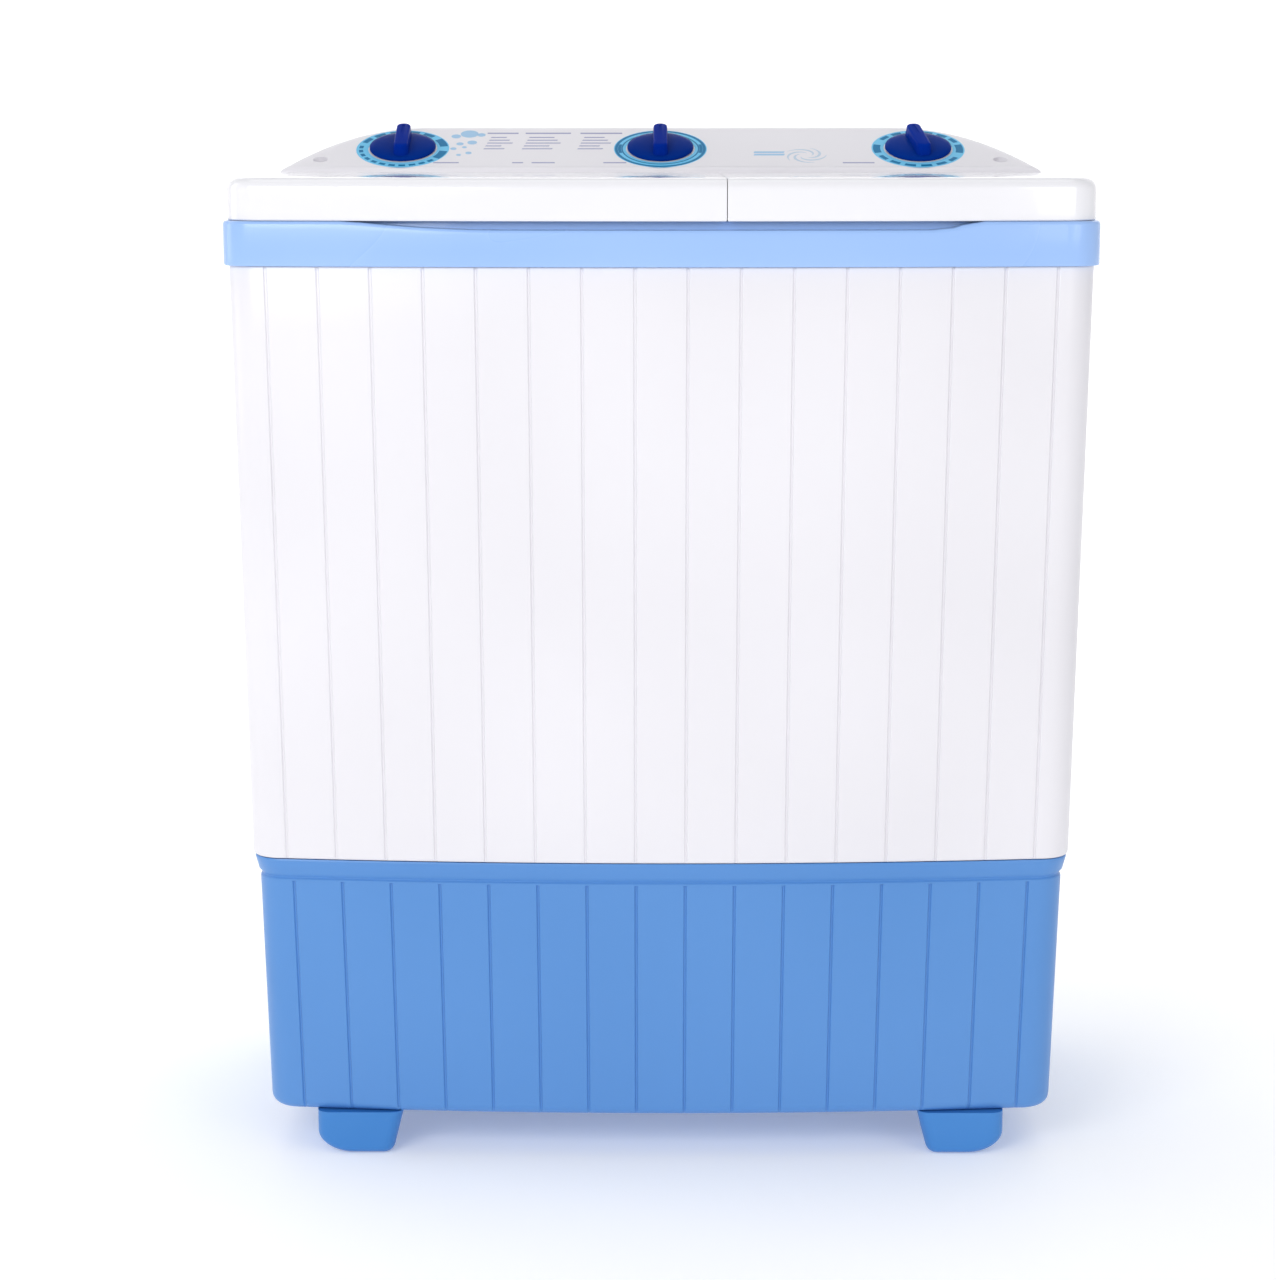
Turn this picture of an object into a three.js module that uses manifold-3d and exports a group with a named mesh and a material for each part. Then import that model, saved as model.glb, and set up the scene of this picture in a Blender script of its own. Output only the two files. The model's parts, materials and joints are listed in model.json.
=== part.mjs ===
// Twin tub washer: a wash tub with a pulsator on the left and a spin basket on the right.
// Millimetres, +Z up, front facing -Y, +X to the right, origin on the floor under the middle.
import * as THREE from 'three';
import { mergeVertices } from 'three/addons/utils/BufferGeometryUtils.js';
import Module from 'manifold-3d';

const wasm = await Module();
wasm.setup();

// ---------- driving dimensions ----------
const GAP = 0.3;                 // clearance between neighbouring pieces
const WIDTH = 660;
const DEPTH = 400;
const HALF_W = WIDTH / 2;
const HALF_D = DEPTH / 2;
const CORNER = 26;               // plan radius of the casing's upright edges
const BOW = 20;                  // how far the front bulges between its two corners

// levels, from the floor up
const FOOT_H = 35;
const LIP_LOW = 225;
const CABINET_LOW = 241;
const BAND_LOW = 698.5;
const BAND_HIGH = 732;
const LID_TOP = 764;
const CONSOLE_TOP = 800;

// casing size at each level: half width, half depth in front, half depth behind
const BASE_FOOT_SIZE = [309, 176, 174];
const BASE_LIP_SIZE = [314, 182, 181];
const LIP_TOP_SIZE = [318, 186, 190];
const CABINET_LOW_SIZE = [318.7, 187, 195];
const CABINET_HIGH_SIZE = [326.3, 196, 195];

const SKIN = 7;                  // casing thickness, ribs included
const GROOVE_COUNT = 16;
const GROOVE_PITCH = 40;         // on the full-width outline
const GROOVE_WIDTH = 7;
const GROOVE_DEPTH = 2.6;
const SIDE_GROOVES = 8;

// lids and their hinges
const SEAM_X = 48.5;
const LID_SIDE = 327;
const LID_FRONT = -198;
const LID_WALL = 3;
const HINGE_Y = 44;
const HINGE_R = 9;
const HINGE_Z = LID_TOP - HINGE_R;
const PIN_R = 2;
const LUG_W = 10;
const LUG_INSET = 45;            // lug centre to the lid's end

// control console
const CONSOLE_FRONT = 55;
const CONSOLE_HALF_W = 314;
const FASCIA_TILT = THREE.MathUtils.degToRad(22.5);
const FASCIA_Y = 91;
const FASCIA_Z = 782.5;
const KNOB_X = [-214, 0, 214];
const KNOB_TURN = [0, 0, 9].map(THREE.MathUtils.degToRad);   // grips as they stand at rest
const KNOB_R = 27.5;
const GRIP = { halfW: 6.5, halfL: 24, r: 4, low: 4, high: 13.5 };

// tubs, pulsator and spin basket
const WASH = { x: -138, y: -31, w: 330, d: 270, r: 40, floor: 330, wall: 3 };
const SPIN = { x: 182, y: -56, tubR: 112, wall: 3, floor: 330, basketR: 100, low: 372, high: 690 };
const PULSATOR_R = 112;
const DECK_HIGH = BAND_HIGH - GAP;
const DECK_LOW = DECK_HIGH - 3;
const TUB_TOP = DECK_LOW - GAP;
const WASH_HOLE = { left: -290, right: 14, front: -160, back: 30, r: 30 };
const SPIN_HOLE_R = 92;
const RECESS = { left: -235, right: 237, floor: BAND_HIGH - 6, reach: 12, wall: 3 };

// drive
const PULLEY_Z = 205;
const PULLEY_H = 16;
const WASH_PULLEY_R = 90;
const MOTOR_PULLEY_R = 22;
const WASH_MOTOR = { x: 18, y: 62, r: 58, low: 60, high: 190 };
const GEARBOX = { r: 38, neckR: 20, low: 235, shoulder: 290, high: 325.6 };
const SPIN_MOTOR = { r: 60, low: 72, high: 186, plateR: 74, springCircle: 60 };
const BRAKE = { x: 118, drumR: 46, drumLow: 224, drumHigh: 262 };
const SHAFT_R = 8;
const DRAIN = { x: -250, y: 70, r: 22, bore: 17 };
const LINT = { left: -183, right: -93, front: 82, back: 103.4, low: 450, high: 620 };
const CAPACITOR = { x: -240, y: -90, r: 18, high: 112 };
const BASE_FLOOR = FOOT_H + 5 + GAP;
const FEET_X = { left: -237, right: 237 };
const FEET_Y = { front: -133, rear: 128 };

// ---------- materials ----------
const paint = (color, roughness, metalness = 0) =>
  new THREE.MeshStandardMaterial({ color, roughness, metalness });
const WHITE = paint(0xf2f0f6, 0.35);
const LID_WHITE = paint(0xf8f8fb, 0.18);
const BAND_BLUE = paint(0xaec8ec, 0.35);
const BASE_BLUE = paint(0x639bdc, 0.4);
const FOOT_BLUE = paint(0x3883ca, 0.45);
const KNOB_BLUE = paint(0x082e90, 0.22);
const TUB_WHITE = paint(0xe9edf2, 0.3);
const STEEL = paint(0xb9bcc0, 0.3, 1);
const ZINC = paint(0xa3a7ac, 0.4, 0.9);
const MOTOR_GREY = paint(0x70757c, 0.5, 0.7);
const BLACK_RUBBER = paint(0x1d1e20, 0.85);
const GREY_PLASTIC = paint(0x8f959d, 0.5);

// ---------- joining and cutting ----------
function solid(geometry) {
  const plain = geometry.clone();
  plain.deleteAttribute('normal');
  plain.deleteAttribute('uv');
  const merged = mergeVertices(plain, 1e-3);
  const vertProperties = new Float32Array(merged.attributes.position.array);
  const triVerts = new Uint32Array(merged.index.array);
  return new wasm.Manifold(new wasm.Mesh({ numProp: 3, vertProperties, triVerts }));
}

function geometryOf(body) {
  const mesh = body.getMesh();
  const geometry = new THREE.BufferGeometry();
  geometry.setAttribute('position', new THREE.BufferAttribute(mesh.vertProperties, 3));
  geometry.setIndex(new THREE.BufferAttribute(mesh.triVerts, 1));
  geometry.computeVertexNormals();
  return geometry;
}

const join = (first, ...rest) =>
  geometryOf(rest.reduce((body, piece) => body.add(solid(piece)), solid(first)));
const cut = (first, ...rest) =>
  geometryOf(rest.reduce((body, piece) => body.subtract(solid(piece)), solid(first)));
const common = (a, b) => geometryOf(solid(a).intersect(solid(b)));

// ---------- basic shapes ----------
function box(x0, x1, y0, y1, z0, z1) {
  const geometry = new THREE.BoxGeometry(x1 - x0, y1 - y0, z1 - z0);
  return geometry.translate((x0 + x1) / 2, (y0 + y1) / 2, (z0 + z1) / 2);
}

function prism(shape, low, high, steps = 1) {
  const geometry = new THREE.ExtrudeGeometry(shape, {
    depth: high - low, steps, bevelEnabled: false, curveSegments: 2,
  });
  return geometry.translate(0, 0, low);
}

// an upright cylinder standing at x, y
function post(x, y, radius, low, high, sides = 16) {
  const geometry = new THREE.CylinderGeometry(radius, radius, high - low, sides);
  return geometry.rotateX(Math.PI / 2).translate(x, y, (low + high) / 2);
}

// a cylinder lying along X
function barX(y, z, radius, left, right, sides = 12) {
  const geometry = new THREE.CylinderGeometry(radius, radius, right - left, sides);
  return geometry.rotateZ(Math.PI / 2).translate((left + right) / 2, y, z);
}

// a cylinder lying along Y
function barY(x, z, radius, front, back, sides = 16) {
  const geometry = new THREE.CylinderGeometry(radius, radius, back - front, sides);
  return geometry.translate(x, (front + back) / 2, z);
}

// a turned piece round an upright axis, from [radius, height] pairs
function turned(x, y, profile, sides = 24) {
  const points = profile.map(([radius, height]) => new THREE.Vector2(radius, height));
  const geometry = new THREE.LatheGeometry(points, sides);
  return geometry.rotateX(Math.PI / 2).translate(x, y, 0);
}

function roundedRect(x0, x1, y0, y1, radius) {
  const shape = new THREE.Shape();
  shape.moveTo(x0 + radius, y0);
  shape.lineTo(x1 - radius, y0);
  shape.absarc(x1 - radius, y0 + radius, radius, -Math.PI / 2, 0);
  shape.lineTo(x1, y1 - radius);
  shape.absarc(x1 - radius, y1 - radius, radius, 0, Math.PI / 2);
  shape.lineTo(x0 + radius, y1);
  shape.absarc(x0 + radius, y1 - radius, radius, Math.PI / 2, Math.PI);
  shape.lineTo(x0, y0 + radius);
  shape.absarc(x0 + radius, y0 + radius, radius, Math.PI, Math.PI * 1.5);
  return shape;
}

function tube(points, radius, bore, sides = 10, steps = 16) {
  const path = new THREE.CatmullRomCurve3(points.map((p) => new THREE.Vector3(...p)));
  const section = new THREE.Shape();
  section.absarc(0, 0, radius, 0, Math.PI * 2);
  if (bore > 0) {
    const hole = new THREE.Path();
    hole.absarc(0, 0, bore, 0, Math.PI * 2, true);
    section.holes.push(hole);
  }
  return new THREE.ExtrudeGeometry(section, {
    extrudePath: path, steps, curveSegments: sides / 2, bevelEnabled: false,
  });
}

// a side profile drawn in Y and Z, drawn out along X
function alongX(shape, left, right, steps = 1) {
  const toX = new THREE.Matrix4().makeBasis(
    new THREE.Vector3(0, 1, 0), new THREE.Vector3(0, 0, 1), new THREE.Vector3(1, 0, 0));
  return prism(shape, left, right, steps).applyMatrix4(toX);
}

// a front profile drawn in X and Z, drawn out along Y
function alongY(shape, front, back) {
  return prism(shape, -back, -front).rotateX(Math.PI / 2);
}

// ---------- casing outline ----------
const frontY = (x) => -HALF_D + BOW * (x / HALF_W) ** 2;

function addGroove(shape, x, y, inwardX, inwardY) {
  const along = [-inwardY, inwardX].map((v) => -v * GROOVE_WIDTH);
  const steps = [[-0.5, 0], [-0.2, 1], [0.2, 1], [0.5, 0]];
  for (const [side, depth] of steps) {
    shape.lineTo(x + along[0] * side + inwardX * depth * GROOVE_DEPTH,
      y + along[1] * side + inwardY * depth * GROOVE_DEPTH);
  }
}

// the plan outline at full width, moved in by inset, with upright grooves where asked for
function casingOutline(inset, grooved = false) {
  const side = HALF_W - inset;
  const back = HALF_D - inset;
  const radius = Math.max(CORNER - inset, 4);
  const turnX = side - radius;
  const turnY = frontY(turnX) + inset + radius;
  const shape = new THREE.Shape();
  shape.moveTo(-turnX, turnY - radius);
  const middle = (GROOVE_COUNT - 1) / 2;
  for (let i = 0; i < GROOVE_COUNT; i += 1) {
    const x = (i - middle) * GROOVE_PITCH;
    if (grooved) addGroove(shape, x, frontY(x), 0, 1);
    else if (Math.abs(x) < turnX) shape.lineTo(x, frontY(x) + inset);
  }
  shape.absarc(turnX, turnY, radius, -Math.PI / 2, 0);
  const sideMiddle = (SIDE_GROOVES - 1) / 2;
  const rows = [...Array(SIDE_GROOVES).keys()].map((i) => (i - sideMiddle) * GROOVE_PITCH + 5);
  if (grooved) rows.forEach((y) => addGroove(shape, side, y, -1, 0));
  shape.absarc(side - radius, back - radius, radius, 0, Math.PI / 2);
  shape.absarc(radius - side, back - radius, radius, Math.PI / 2, Math.PI);
  if (grooved) rows.reverse().forEach((y) => addGroove(shape, -side, y, 1, 0));
  shape.absarc(-turnX, turnY, radius, Math.PI, Math.PI * 1.5);
  return shape;
}

// draws a full-width shape in to the casing's size between two levels
function fit(geometry, low, high, lowSize, highSize) {
  const position = geometry.attributes.position;
  for (let i = 0; i < position.count; i += 1) {
    const t = (position.getZ(i) - low) / (high - low);
    const [side, front, back] = lowSize.map((size, k) => size + (highSize[k] - size) * t);
    const y = position.getY(i);
    position.setX(i, position.getX(i) * side / HALF_W);
    position.setY(i, y * (y < 0 ? front : back) / HALF_D);
  }
  return geometry;
}

// a strip that follows the bowed front, from one distance behind it to another
function bowedStrip(x0, x1, frontInset, backInset) {
  const steps = 12;
  const xs = [...Array(steps + 1).keys()].map((i) => x0 + (x1 - x0) * i / steps);
  const front = xs.map((x) => new THREE.Vector2(x, frontY(x) + frontInset));
  const back = xs.map((x) => new THREE.Vector2(x, frontY(x) + backInset));
  return new THREE.Shape([...front, ...back.reverse()]);
}

// ---------- casing pieces ----------
const washer = new THREE.Group();

function place(name, geometry, material, group = washer) {
  const mesh = new THREE.Mesh(geometry, material);
  mesh.name = name;
  group.add(mesh);
  return mesh;
}

const PANEL = { left: -150, right: 250, low: 270, high: 560, margin: 12, thick: 2.4 };
const SPIGOT = { x: DRAIN.x, z: 80, r: 14, bore: 10.5 };
const GLAND = { x: 262, z: 80, r: 9 };
const SLOT_X = [-60, 0, 60];      // cooling slots in the base floor
const SLOT_HALF = 20;

function base() {
  const floorTop = FOOT_H + 5;
  const lower = prism(casingOutline(0, true), FOOT_H, LIP_LOW);
  fit(lower, FOOT_H, LIP_LOW, BASE_FOOT_SIZE, BASE_LIP_SIZE);
  const lip = prism(casingOutline(0), LIP_LOW, CABINET_LOW - GAP);
  fit(lip, LIP_LOW, CABINET_LOW, BASE_LIP_SIZE, LIP_TOP_SIZE);
  const cavity = prism(casingOutline(SKIN), floorTop, CABINET_LOW + 1);
  fit(cavity, FOOT_H, CABINET_LOW, BASE_FOOT_SIZE, BASE_LIP_SIZE);
  const hoseHole = barY(SPIGOT.x, SPIGOT.z, SPIGOT.r + GAP, 150, HALF_D);
  const glandHole = barY(GLAND.x, GLAND.z, GLAND.r + GAP, 150, HALF_D);
  const airSlots = SLOT_X.map((x) => box(x - SLOT_HALF, x + SLOT_HALF, 128, 140, 30, 45));
  return cut(join(lower, lip), cavity, hoseHole, glandHole, ...airSlots);
}

function cabinet() {
  const low = CABINET_LOW;
  const shell = prism(casingOutline(0, true), low + GAP, BAND_LOW - GAP);
  const cavity = prism(casingOutline(SKIN), low - 5, BAND_LOW + 5);
  fit(shell, low, BAND_LOW, CABINET_LOW_SIZE, CABINET_HIGH_SIZE);
  fit(cavity, low, BAND_LOW, CABINET_LOW_SIZE, CABINET_HIGH_SIZE);
  const opening = box(PANEL.left, PANEL.right, 150, 250, PANEL.low, PANEL.high);
  const screwHoles = panelScrewSpots().map(([x, z]) => barY(x, z, 2.3, 180, HALF_D, 12));
  return cut(shell, cavity, opening, ...screwHoles);
}

function topBand() {
  const { left, right, floor, reach, wall } = RECESS;
  const ring = prism(casingOutline(0), BAND_LOW, BAND_HIGH);
  const inside = prism(casingOutline(6), BAND_LOW - 1, BAND_HIGH + 1);
  const shelf = prism(bowedStrip(left - 10, right + 10, 3, reach + wall), floor - 6, BAND_HIGH);
  const pocket = prism(bowedStrip(left, right, -5, reach), floor, BAND_HIGH + 5);
  return cut(join(cut(ring, inside), shelf), pocket);
}

function hingeLugs() {
  return [-LID_SIDE, SEAM_X].flatMap((left) => {
    const right = left < 0 ? SEAM_X : LID_SIDE;
    return [left + LUG_INSET, right - LUG_INSET];
  });
}

function topDeck() {
  const { left, right, reach, wall } = RECESS;
  const plate = prism(casingOutline(6 + GAP), DECK_LOW, DECK_HIGH);
  const washHole = prism(roundedRect(WASH_HOLE.left, WASH_HOLE.right, WASH_HOLE.front, WASH_HOLE.back,
    WASH_HOLE.r), DECK_LOW - 1, DECK_HIGH + 1);
  const spinHole = post(SPIN.x, SPIN.y, SPIN_HOLE_R, DECK_LOW - 1, DECK_HIGH + 1, 32);
  const recessStrip = bowedStrip(left - 10 - GAP, right + 10 + GAP, -5, reach + wall + GAP);
  const recessRoom = prism(recessStrip, DECK_LOW - 5, DECK_HIGH + 5);
  const plunger = post(DRAIN.x, DRAIN.y, 5, DECK_LOW - 1, DECK_HIGH + 1, 12);
  const lugs = hingeLugs().flatMap((x) => [
    box(x - LUG_W / 2, x + LUG_W / 2, HINGE_Y - 5, HINGE_Y + 5, DECK_LOW + 1, HINGE_Z),
    barX(HINGE_Y, HINGE_Z, HINGE_R - 0.1, x - LUG_W / 2, x + LUG_W / 2, 16),
  ]);
  const bores = hingeLugs().map((x) => barX(HINGE_Y, HINGE_Z, PIN_R + GAP, x - 9, x + 9));
  return cut(join(plate, ...lugs), washHole, spinHole, recessRoom, plunger, ...bores);
}

function foot() {
  const FOOT_W = 68;
  const half = FOOT_W / 2;
  const pad = prism(roundedRect(-half, half, -half, half, 12), 0, FOOT_H - GAP, 2);
  const position = pad.attributes.position;
  for (let i = 0; i < position.count; i += 1) {
    const draw = 1 - 0.16 * (1 - position.getZ(i) / FOOT_H) ** 2;
    position.setX(i, position.getX(i) * draw);
    position.setY(i, position.getY(i) * draw);
  }
  return pad;
}

function servicePanel() {
  const { left, right, low, high, margin, thick } = PANEL;
  const back = CABINET_HIGH_SIZE[2] + GAP;
  const plate = box(left - margin, right + margin, back, back + thick, low - margin, high + margin);
  const louvres = [0, 1, 2, 3, 4, 5].flatMap((row) => [-30, 60].map((x) =>
    box(x, x + 70, back - 1, back + thick + 1, 330 + row * 18, 338 + row * 18)));
  return cut(plate, ...louvres, ...panelScrewSpots().map(([x, z]) => barY(x, z, 2.3, 190, 205, 12)));
}

function panelScrewSpots() {
  const { left, right, low, high, margin } = PANEL;
  const xs = [left - margin / 2, right + margin / 2];
  const zs = [low - margin / 2, high + margin / 2];
  return xs.flatMap((x) => zs.map((z) => [x, z]));
}

function panelScrew([x, z]) {
  const headLow = CABINET_HIGH_SIZE[2] + PANEL.thick + 2 * GAP;
  return join(barY(x, z, 4, headLow, HALF_D - 0.2), barY(x, z, 2, headLow - 9, headLow + 1, 12));
}

// ---------- lids ----------
// filled side profile of a lid, moved in by inset
function lidProfile(inset) {
  const front = LID_FRONT + inset;
  const radius = HINGE_R - inset;
  const low = inset > 0 ? DECK_LOW : BAND_HIGH + GAP;
  const rearLow = inset > 0 ? low : low + 9;
  const shape = new THREE.Shape();
  shape.moveTo(front, low);
  shape.lineTo(HINGE_Y - 8, low);
  shape.lineTo(HINGE_Y + radius, rearLow);
  shape.absarc(HINGE_Y, HINGE_Z, radius, 0, Math.PI / 2);
  shape.absarc(LID_FRONT + HINGE_R, HINGE_Z, radius, Math.PI / 2, Math.PI);
  return shape;
}

function lidBlock(inset, left, right, outerSide) {
  const CORNER_R = 28;
  const cornerX = LID_SIDE - CORNER_R;
  const cornerY = LID_FRONT + BOW * (cornerX / HALF_W) ** 2 + CORNER_R;
  const block = alongX(lidProfile(inset), left + inset, right - inset, 8);
  const position = block.attributes.position;
  for (let i = 0; i < position.count; i += 1) {
    const bulge = BOW * (position.getX(i) / HALF_W) ** 2;
    const y = position.getY(i);
    position.setY(i, y + bulge * Math.max(0, -y) / HALF_D);
  }
  const xs = [cornerX, HALF_W].map((x) => x * outerSide).sort((a, b) => a - b);
  const square = box(xs[0], xs[1], -HALF_D, cornerY, DECK_LOW - 1, LID_TOP + 1);
  const round = post(cornerX * outerSide, cornerY, CORNER_R - inset, DECK_LOW - 2, LID_TOP + 2, 32);
  return cut(block, cut(square, round));
}

function lid(left, right, outerSide) {
  const shell = cut(lidBlock(0, left, right, outerSide),
    lidBlock(LID_WALL, left, right, outerSide));
  const lugs = hingeLugs().filter((x) => x > left && x < right);
  const reach = LUG_W / 2 + GAP;
  const knuckles = lugs.flatMap((x) => [
    barX(HINGE_Y, HINGE_Z, HINGE_R - 2, x - reach - 12, x - reach),
    barX(HINGE_Y, HINGE_Z, HINGE_R - 2, x + reach, x + reach + 12),
  ]);
  const notches = lugs.map((x) => box(x - reach, x + reach, HINGE_Y - 10, 60, DECK_LOW, 770));
  const bores = lugs.map((x) => barX(HINGE_Y, HINGE_Z, PIN_R + GAP, x - 19, x + 19));
  return cut(join(shell, ...knuckles), ...notches, ...bores);
}

// ---------- console ----------
const tan = Math.tan(FASCIA_TILT);
const fasciaHeight = (y) => FASCIA_Z + (y - FASCIA_Y) * tan;
const fasciaReach = (z) => FASCIA_Y + (z - FASCIA_Z) / tan;

function consoleBlock(wall, slopeWall) {
  const front = CONSOLE_FRONT + wall;
  const top = CONSOLE_TOP - wall;
  const back = HALF_D - wall;
  const low = wall > 0 ? DECK_HIGH - 2 : BAND_HIGH + GAP;
  const drop = slopeWall / Math.cos(FASCIA_TILT);
  const side = new THREE.Shape();
  side.moveTo(front, low);
  side.lineTo(back, low);
  side.absarc(back - 5, top - 5, 5, 0, Math.PI / 2);
  side.lineTo(fasciaReach(top + drop), top);
  side.lineTo(front, fasciaHeight(front) - drop);
  const half = CONSOLE_HALF_W - wall;
  const ends = [[half, low], [half, LID_TOP - wall], [half - 33, top - 18],
    [half - 64, top - 6], [half - 114, top]];
  const right = ends.map(([x, z]) => new THREE.Vector2(x, z));
  const left = ends.map(([x, z]) => new THREE.Vector2(-x, z)).reverse();
  const face = new THREE.Shape([...right, ...left]);
  return common(alongX(side, -HALF_W, HALF_W), alongY(face, 40, 210));
}

// inside this group Z points out of the fascia and Y runs up its slope
const fasciaGroup = new THREE.Group();
fasciaGroup.position.set(0, FASCIA_Y, FASCIA_Z);
fasciaGroup.rotation.x = FASCIA_TILT;
fasciaGroup.updateMatrix();
washer.add(fasciaGroup);
const FASCIA_THICK = 2;
const CONTROLS = ['wash_timer', 'selector', 'spin_timer'];

function fasciaOutline(extra) {
  const corners = [[286, -32], [232, 30]].map(([x, y]) => [x + extra, y + Math.sign(y) * extra]);
  const shape = new THREE.Shape();
  const [[lowX, lowY], [highX, highY]] = corners;
  shape.moveTo(-lowX, lowY);
  shape.lineTo(lowX, lowY);
  shape.lineTo(highX + 12, highY - 10);
  shape.lineTo(highX, highY);
  shape.lineTo(-highX, highY);
  shape.lineTo(-highX - 12, highY - 10);
  return shape;
}

function controlConsole() {
  const shell = cut(consoleBlock(0, 0), consoleBlock(3, 7));
  const pocket = prism(fasciaOutline(GAP), -FASCIA_THICK - GAP, 8);
  const shaftHoles = KNOB_X.map((x) => post(x, 0, 9, -20, 5));
  const tools = [pocket, ...shaftHoles].map((tool) => tool.applyMatrix4(fasciaGroup.matrix));
  return cut(shell, ...tools);
}

function fasciaPanel() {
  return cut(prism(fasciaOutline(0), -FASCIA_THICK, 0), ...KNOB_X.map((x) => post(x, 0, 4, -5, 5)));
}

function timerBody(x) {
  const top = -8;
  const shell = join(box(x - 24, x + 24, -22, 22, -34, top), post(x, 0, 7, top - 1, top + 4));
  return cut(shell, post(x, 0, 3.4, -27, 0, 16));
}

function knob() {
  const skirt = turned(0, 0, [[0, 0.6], [KNOB_R, 0.6], [KNOB_R, 3.4], [KNOB_R - 1.6, 5], [0, 5]], 28);
  const grip = prism(roundedRect(-GRIP.halfW, GRIP.halfW, -GRIP.halfL, GRIP.halfL, GRIP.r), GRIP.low, GRIP.high);
  return cut(join(skirt, grip), post(0, 0, 3.3, -1, 11, 12));
}

// ---------- tubs ----------
function washTub() {
  const { x, y, w, d, r, floor, wall } = WASH;
  const tubBlock = (grow, low, high) => prism(
    roundedRect(x - w / 2 - grow, x + w / 2 + grow, y - d / 2 - grow, y + d / 2 + grow, r), low, high);
  return cut(tubBlock(wall, floor - 4, TUB_TOP), tubBlock(0, floor, TUB_TOP + 1),
    post(x, y, 9, floor - 10, floor + 10), post(DRAIN.x, DRAIN.y, DRAIN.bore, floor - 10, floor + 10));
}

function spinTub() {
  const { x, y, tubR, wall, floor } = SPIN;
  return turned(x, y, [[42, floor - 4], [tubR + wall, floor - 4], [tubR + wall, TUB_TOP],
    [tubR, TUB_TOP], [tubR, floor], [42, floor], [42, floor - 4]], 36);
}

function pulsator() {
  const { x, y, floor } = WASH;
  const low = floor + 5;
  const disc = turned(x, y, [[0, low], [PULSATOR_R - 6, low], [PULSATOR_R, low + 5],
    [PULSATOR_R - 8, low + 9], [40, low + 7], [30, low + 22], [0, low + 24]], 32);
  const vanes = [0, 1, 2, 3].map((i) => {
    const vane = box(24, PULSATOR_R - 14, -5, 5, low + 4, low + 18);
    return vane.rotateZ(i * Math.PI / 2).translate(x, y, 0);
  });
  return cut(join(disc, ...vanes), post(x, y, 8.3, low - 5, low + 12), post(x, y, 3.4, low, low + 40, 16));
}

function pulsatorScrew() {
  const { x, y, floor } = WASH;
  return turned(x, y, [[0, floor + 18], [3, floor + 18], [3, floor + 29.4], [7, floor + 29.4],
    [7, floor + 33], [5, floor + 34], [0, floor + 34]], 20);
}

function basket() {
  const { x, y, basketR, low, high } = SPIN;
  const wall = 2.5;
  const lip = 5;
  const lipThick = 1.8;
  return turned(x, y, [[8, low], [basketR - 10, low], [basketR, low + 10], [basketR, high],
    [basketR - lip, high], [basketR - lip, high - lipThick], [basketR - wall, high - lipThick],
    [basketR - wall, low + 11], [basketR - 11, low + 4], [18, low + 4], [14, low + 16],
    [8, low + 16], [8, low]], 36);
}

function pressPlate() {
  const { x, y, low } = SPIN;
  const plate = turned(x, y, [[20, low + 20], [82, low + 20], [84, low + 22], [84, low + 26],
    [20, low + 26], [20, low + 20]], 28);
  return join(plate, box(x - 3, x + 3, y - 60, y - 24, low + 25, low + 40));
}

// ---------- drive ----------
function ringPiece(x, y, inner, outer, low, high, sides = 24) {
  return turned(x, y, [[inner, low], [outer, low], [outer, high], [inner, high], [inner, low]], sides);
}

function gearbox() {
  const { r, neckR, low, shoulder, high } = GEARBOX;
  const bore = SHAFT_R + GAP + 0.1;
  return turned(WASH.x, WASH.y, [[bore, low], [r, low], [r, shoulder], [neckR, shoulder + 10],
    [neckR, high], [bore, high], [bore, low]]);
}

function groovedPulley(x, y, bore, radius, low, high, sides) {
  const middle = (low + high) / 2;
  return turned(x, y, [[bore, low], [radius, low], [radius, middle - 5], [radius - 5, middle - 4],
    [radius - 5, middle + 4], [radius, middle + 5], [radius, high], [bore, high], [bore, low]], sides);
}

// an open loop round both pulleys, lying in their grooves
function beltOutline(grow) {
  const dx = WASH_MOTOR.x - WASH.x;
  const dy = WASH_MOTOR.y - WASH.y;
  const heading = Math.atan2(dy, dx);
  const bigR = WASH_PULLEY_R - 4.5 + grow;
  const smallR = MOTOR_PULLEY_R - 4.5 + grow;
  const open = Math.acos((bigR - smallR) / Math.hypot(dx, dy));
  const shape = new THREE.Shape();
  shape.absarc(WASH.x, WASH.y, bigR, heading + open, heading + Math.PI * 2 - open);
  shape.absarc(WASH_MOTOR.x, WASH_MOTOR.y, smallR, heading - open, heading + open);
  return shape;
}

function driveBelt() {
  const loop = beltOutline(4);
  loop.holes.push(new THREE.Path(beltOutline(0).getPoints(16).reverse()));
  const middle = PULLEY_Z + PULLEY_H / 2;
  return new THREE.ExtrudeGeometry(loop, { depth: 7, bevelEnabled: false, curveSegments: 16 })
    .translate(0, 0, middle - 3.5);
}

function washMotorBracket() {
  const { x, y, low } = WASH_MOTOR;
  const floor = BASE_FLOOR;
  const bridge = box(x - 70, x + 70, y - 40, y + 40, low - 3 - GAP, low - GAP);
  const legs = [-70, 67].map((dx) => box(x + dx, x + dx + 3, y - 40, y + 40, floor, low - 1));
  return join(bridge, ...legs);
}

function motor(x, y, radius, low, high, bore) {
  return turned(x, y, [[bore, low], [radius * 0.7, low], [radius, low + 12], [radius, high - 12],
    [radius * 0.7, high], [bore, high], [bore, low]], 20);
}

// the motor with the round foot plate that its springs carry
function spinMotor() {
  const { x, y } = SPIN;
  const { r, low, high, plateR } = SPIN_MOTOR;
  return join(motor(x, y, r, low, high, 7.4), ringPiece(x, y, 12, plateR, low - 2, low + 1.6));
}

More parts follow.
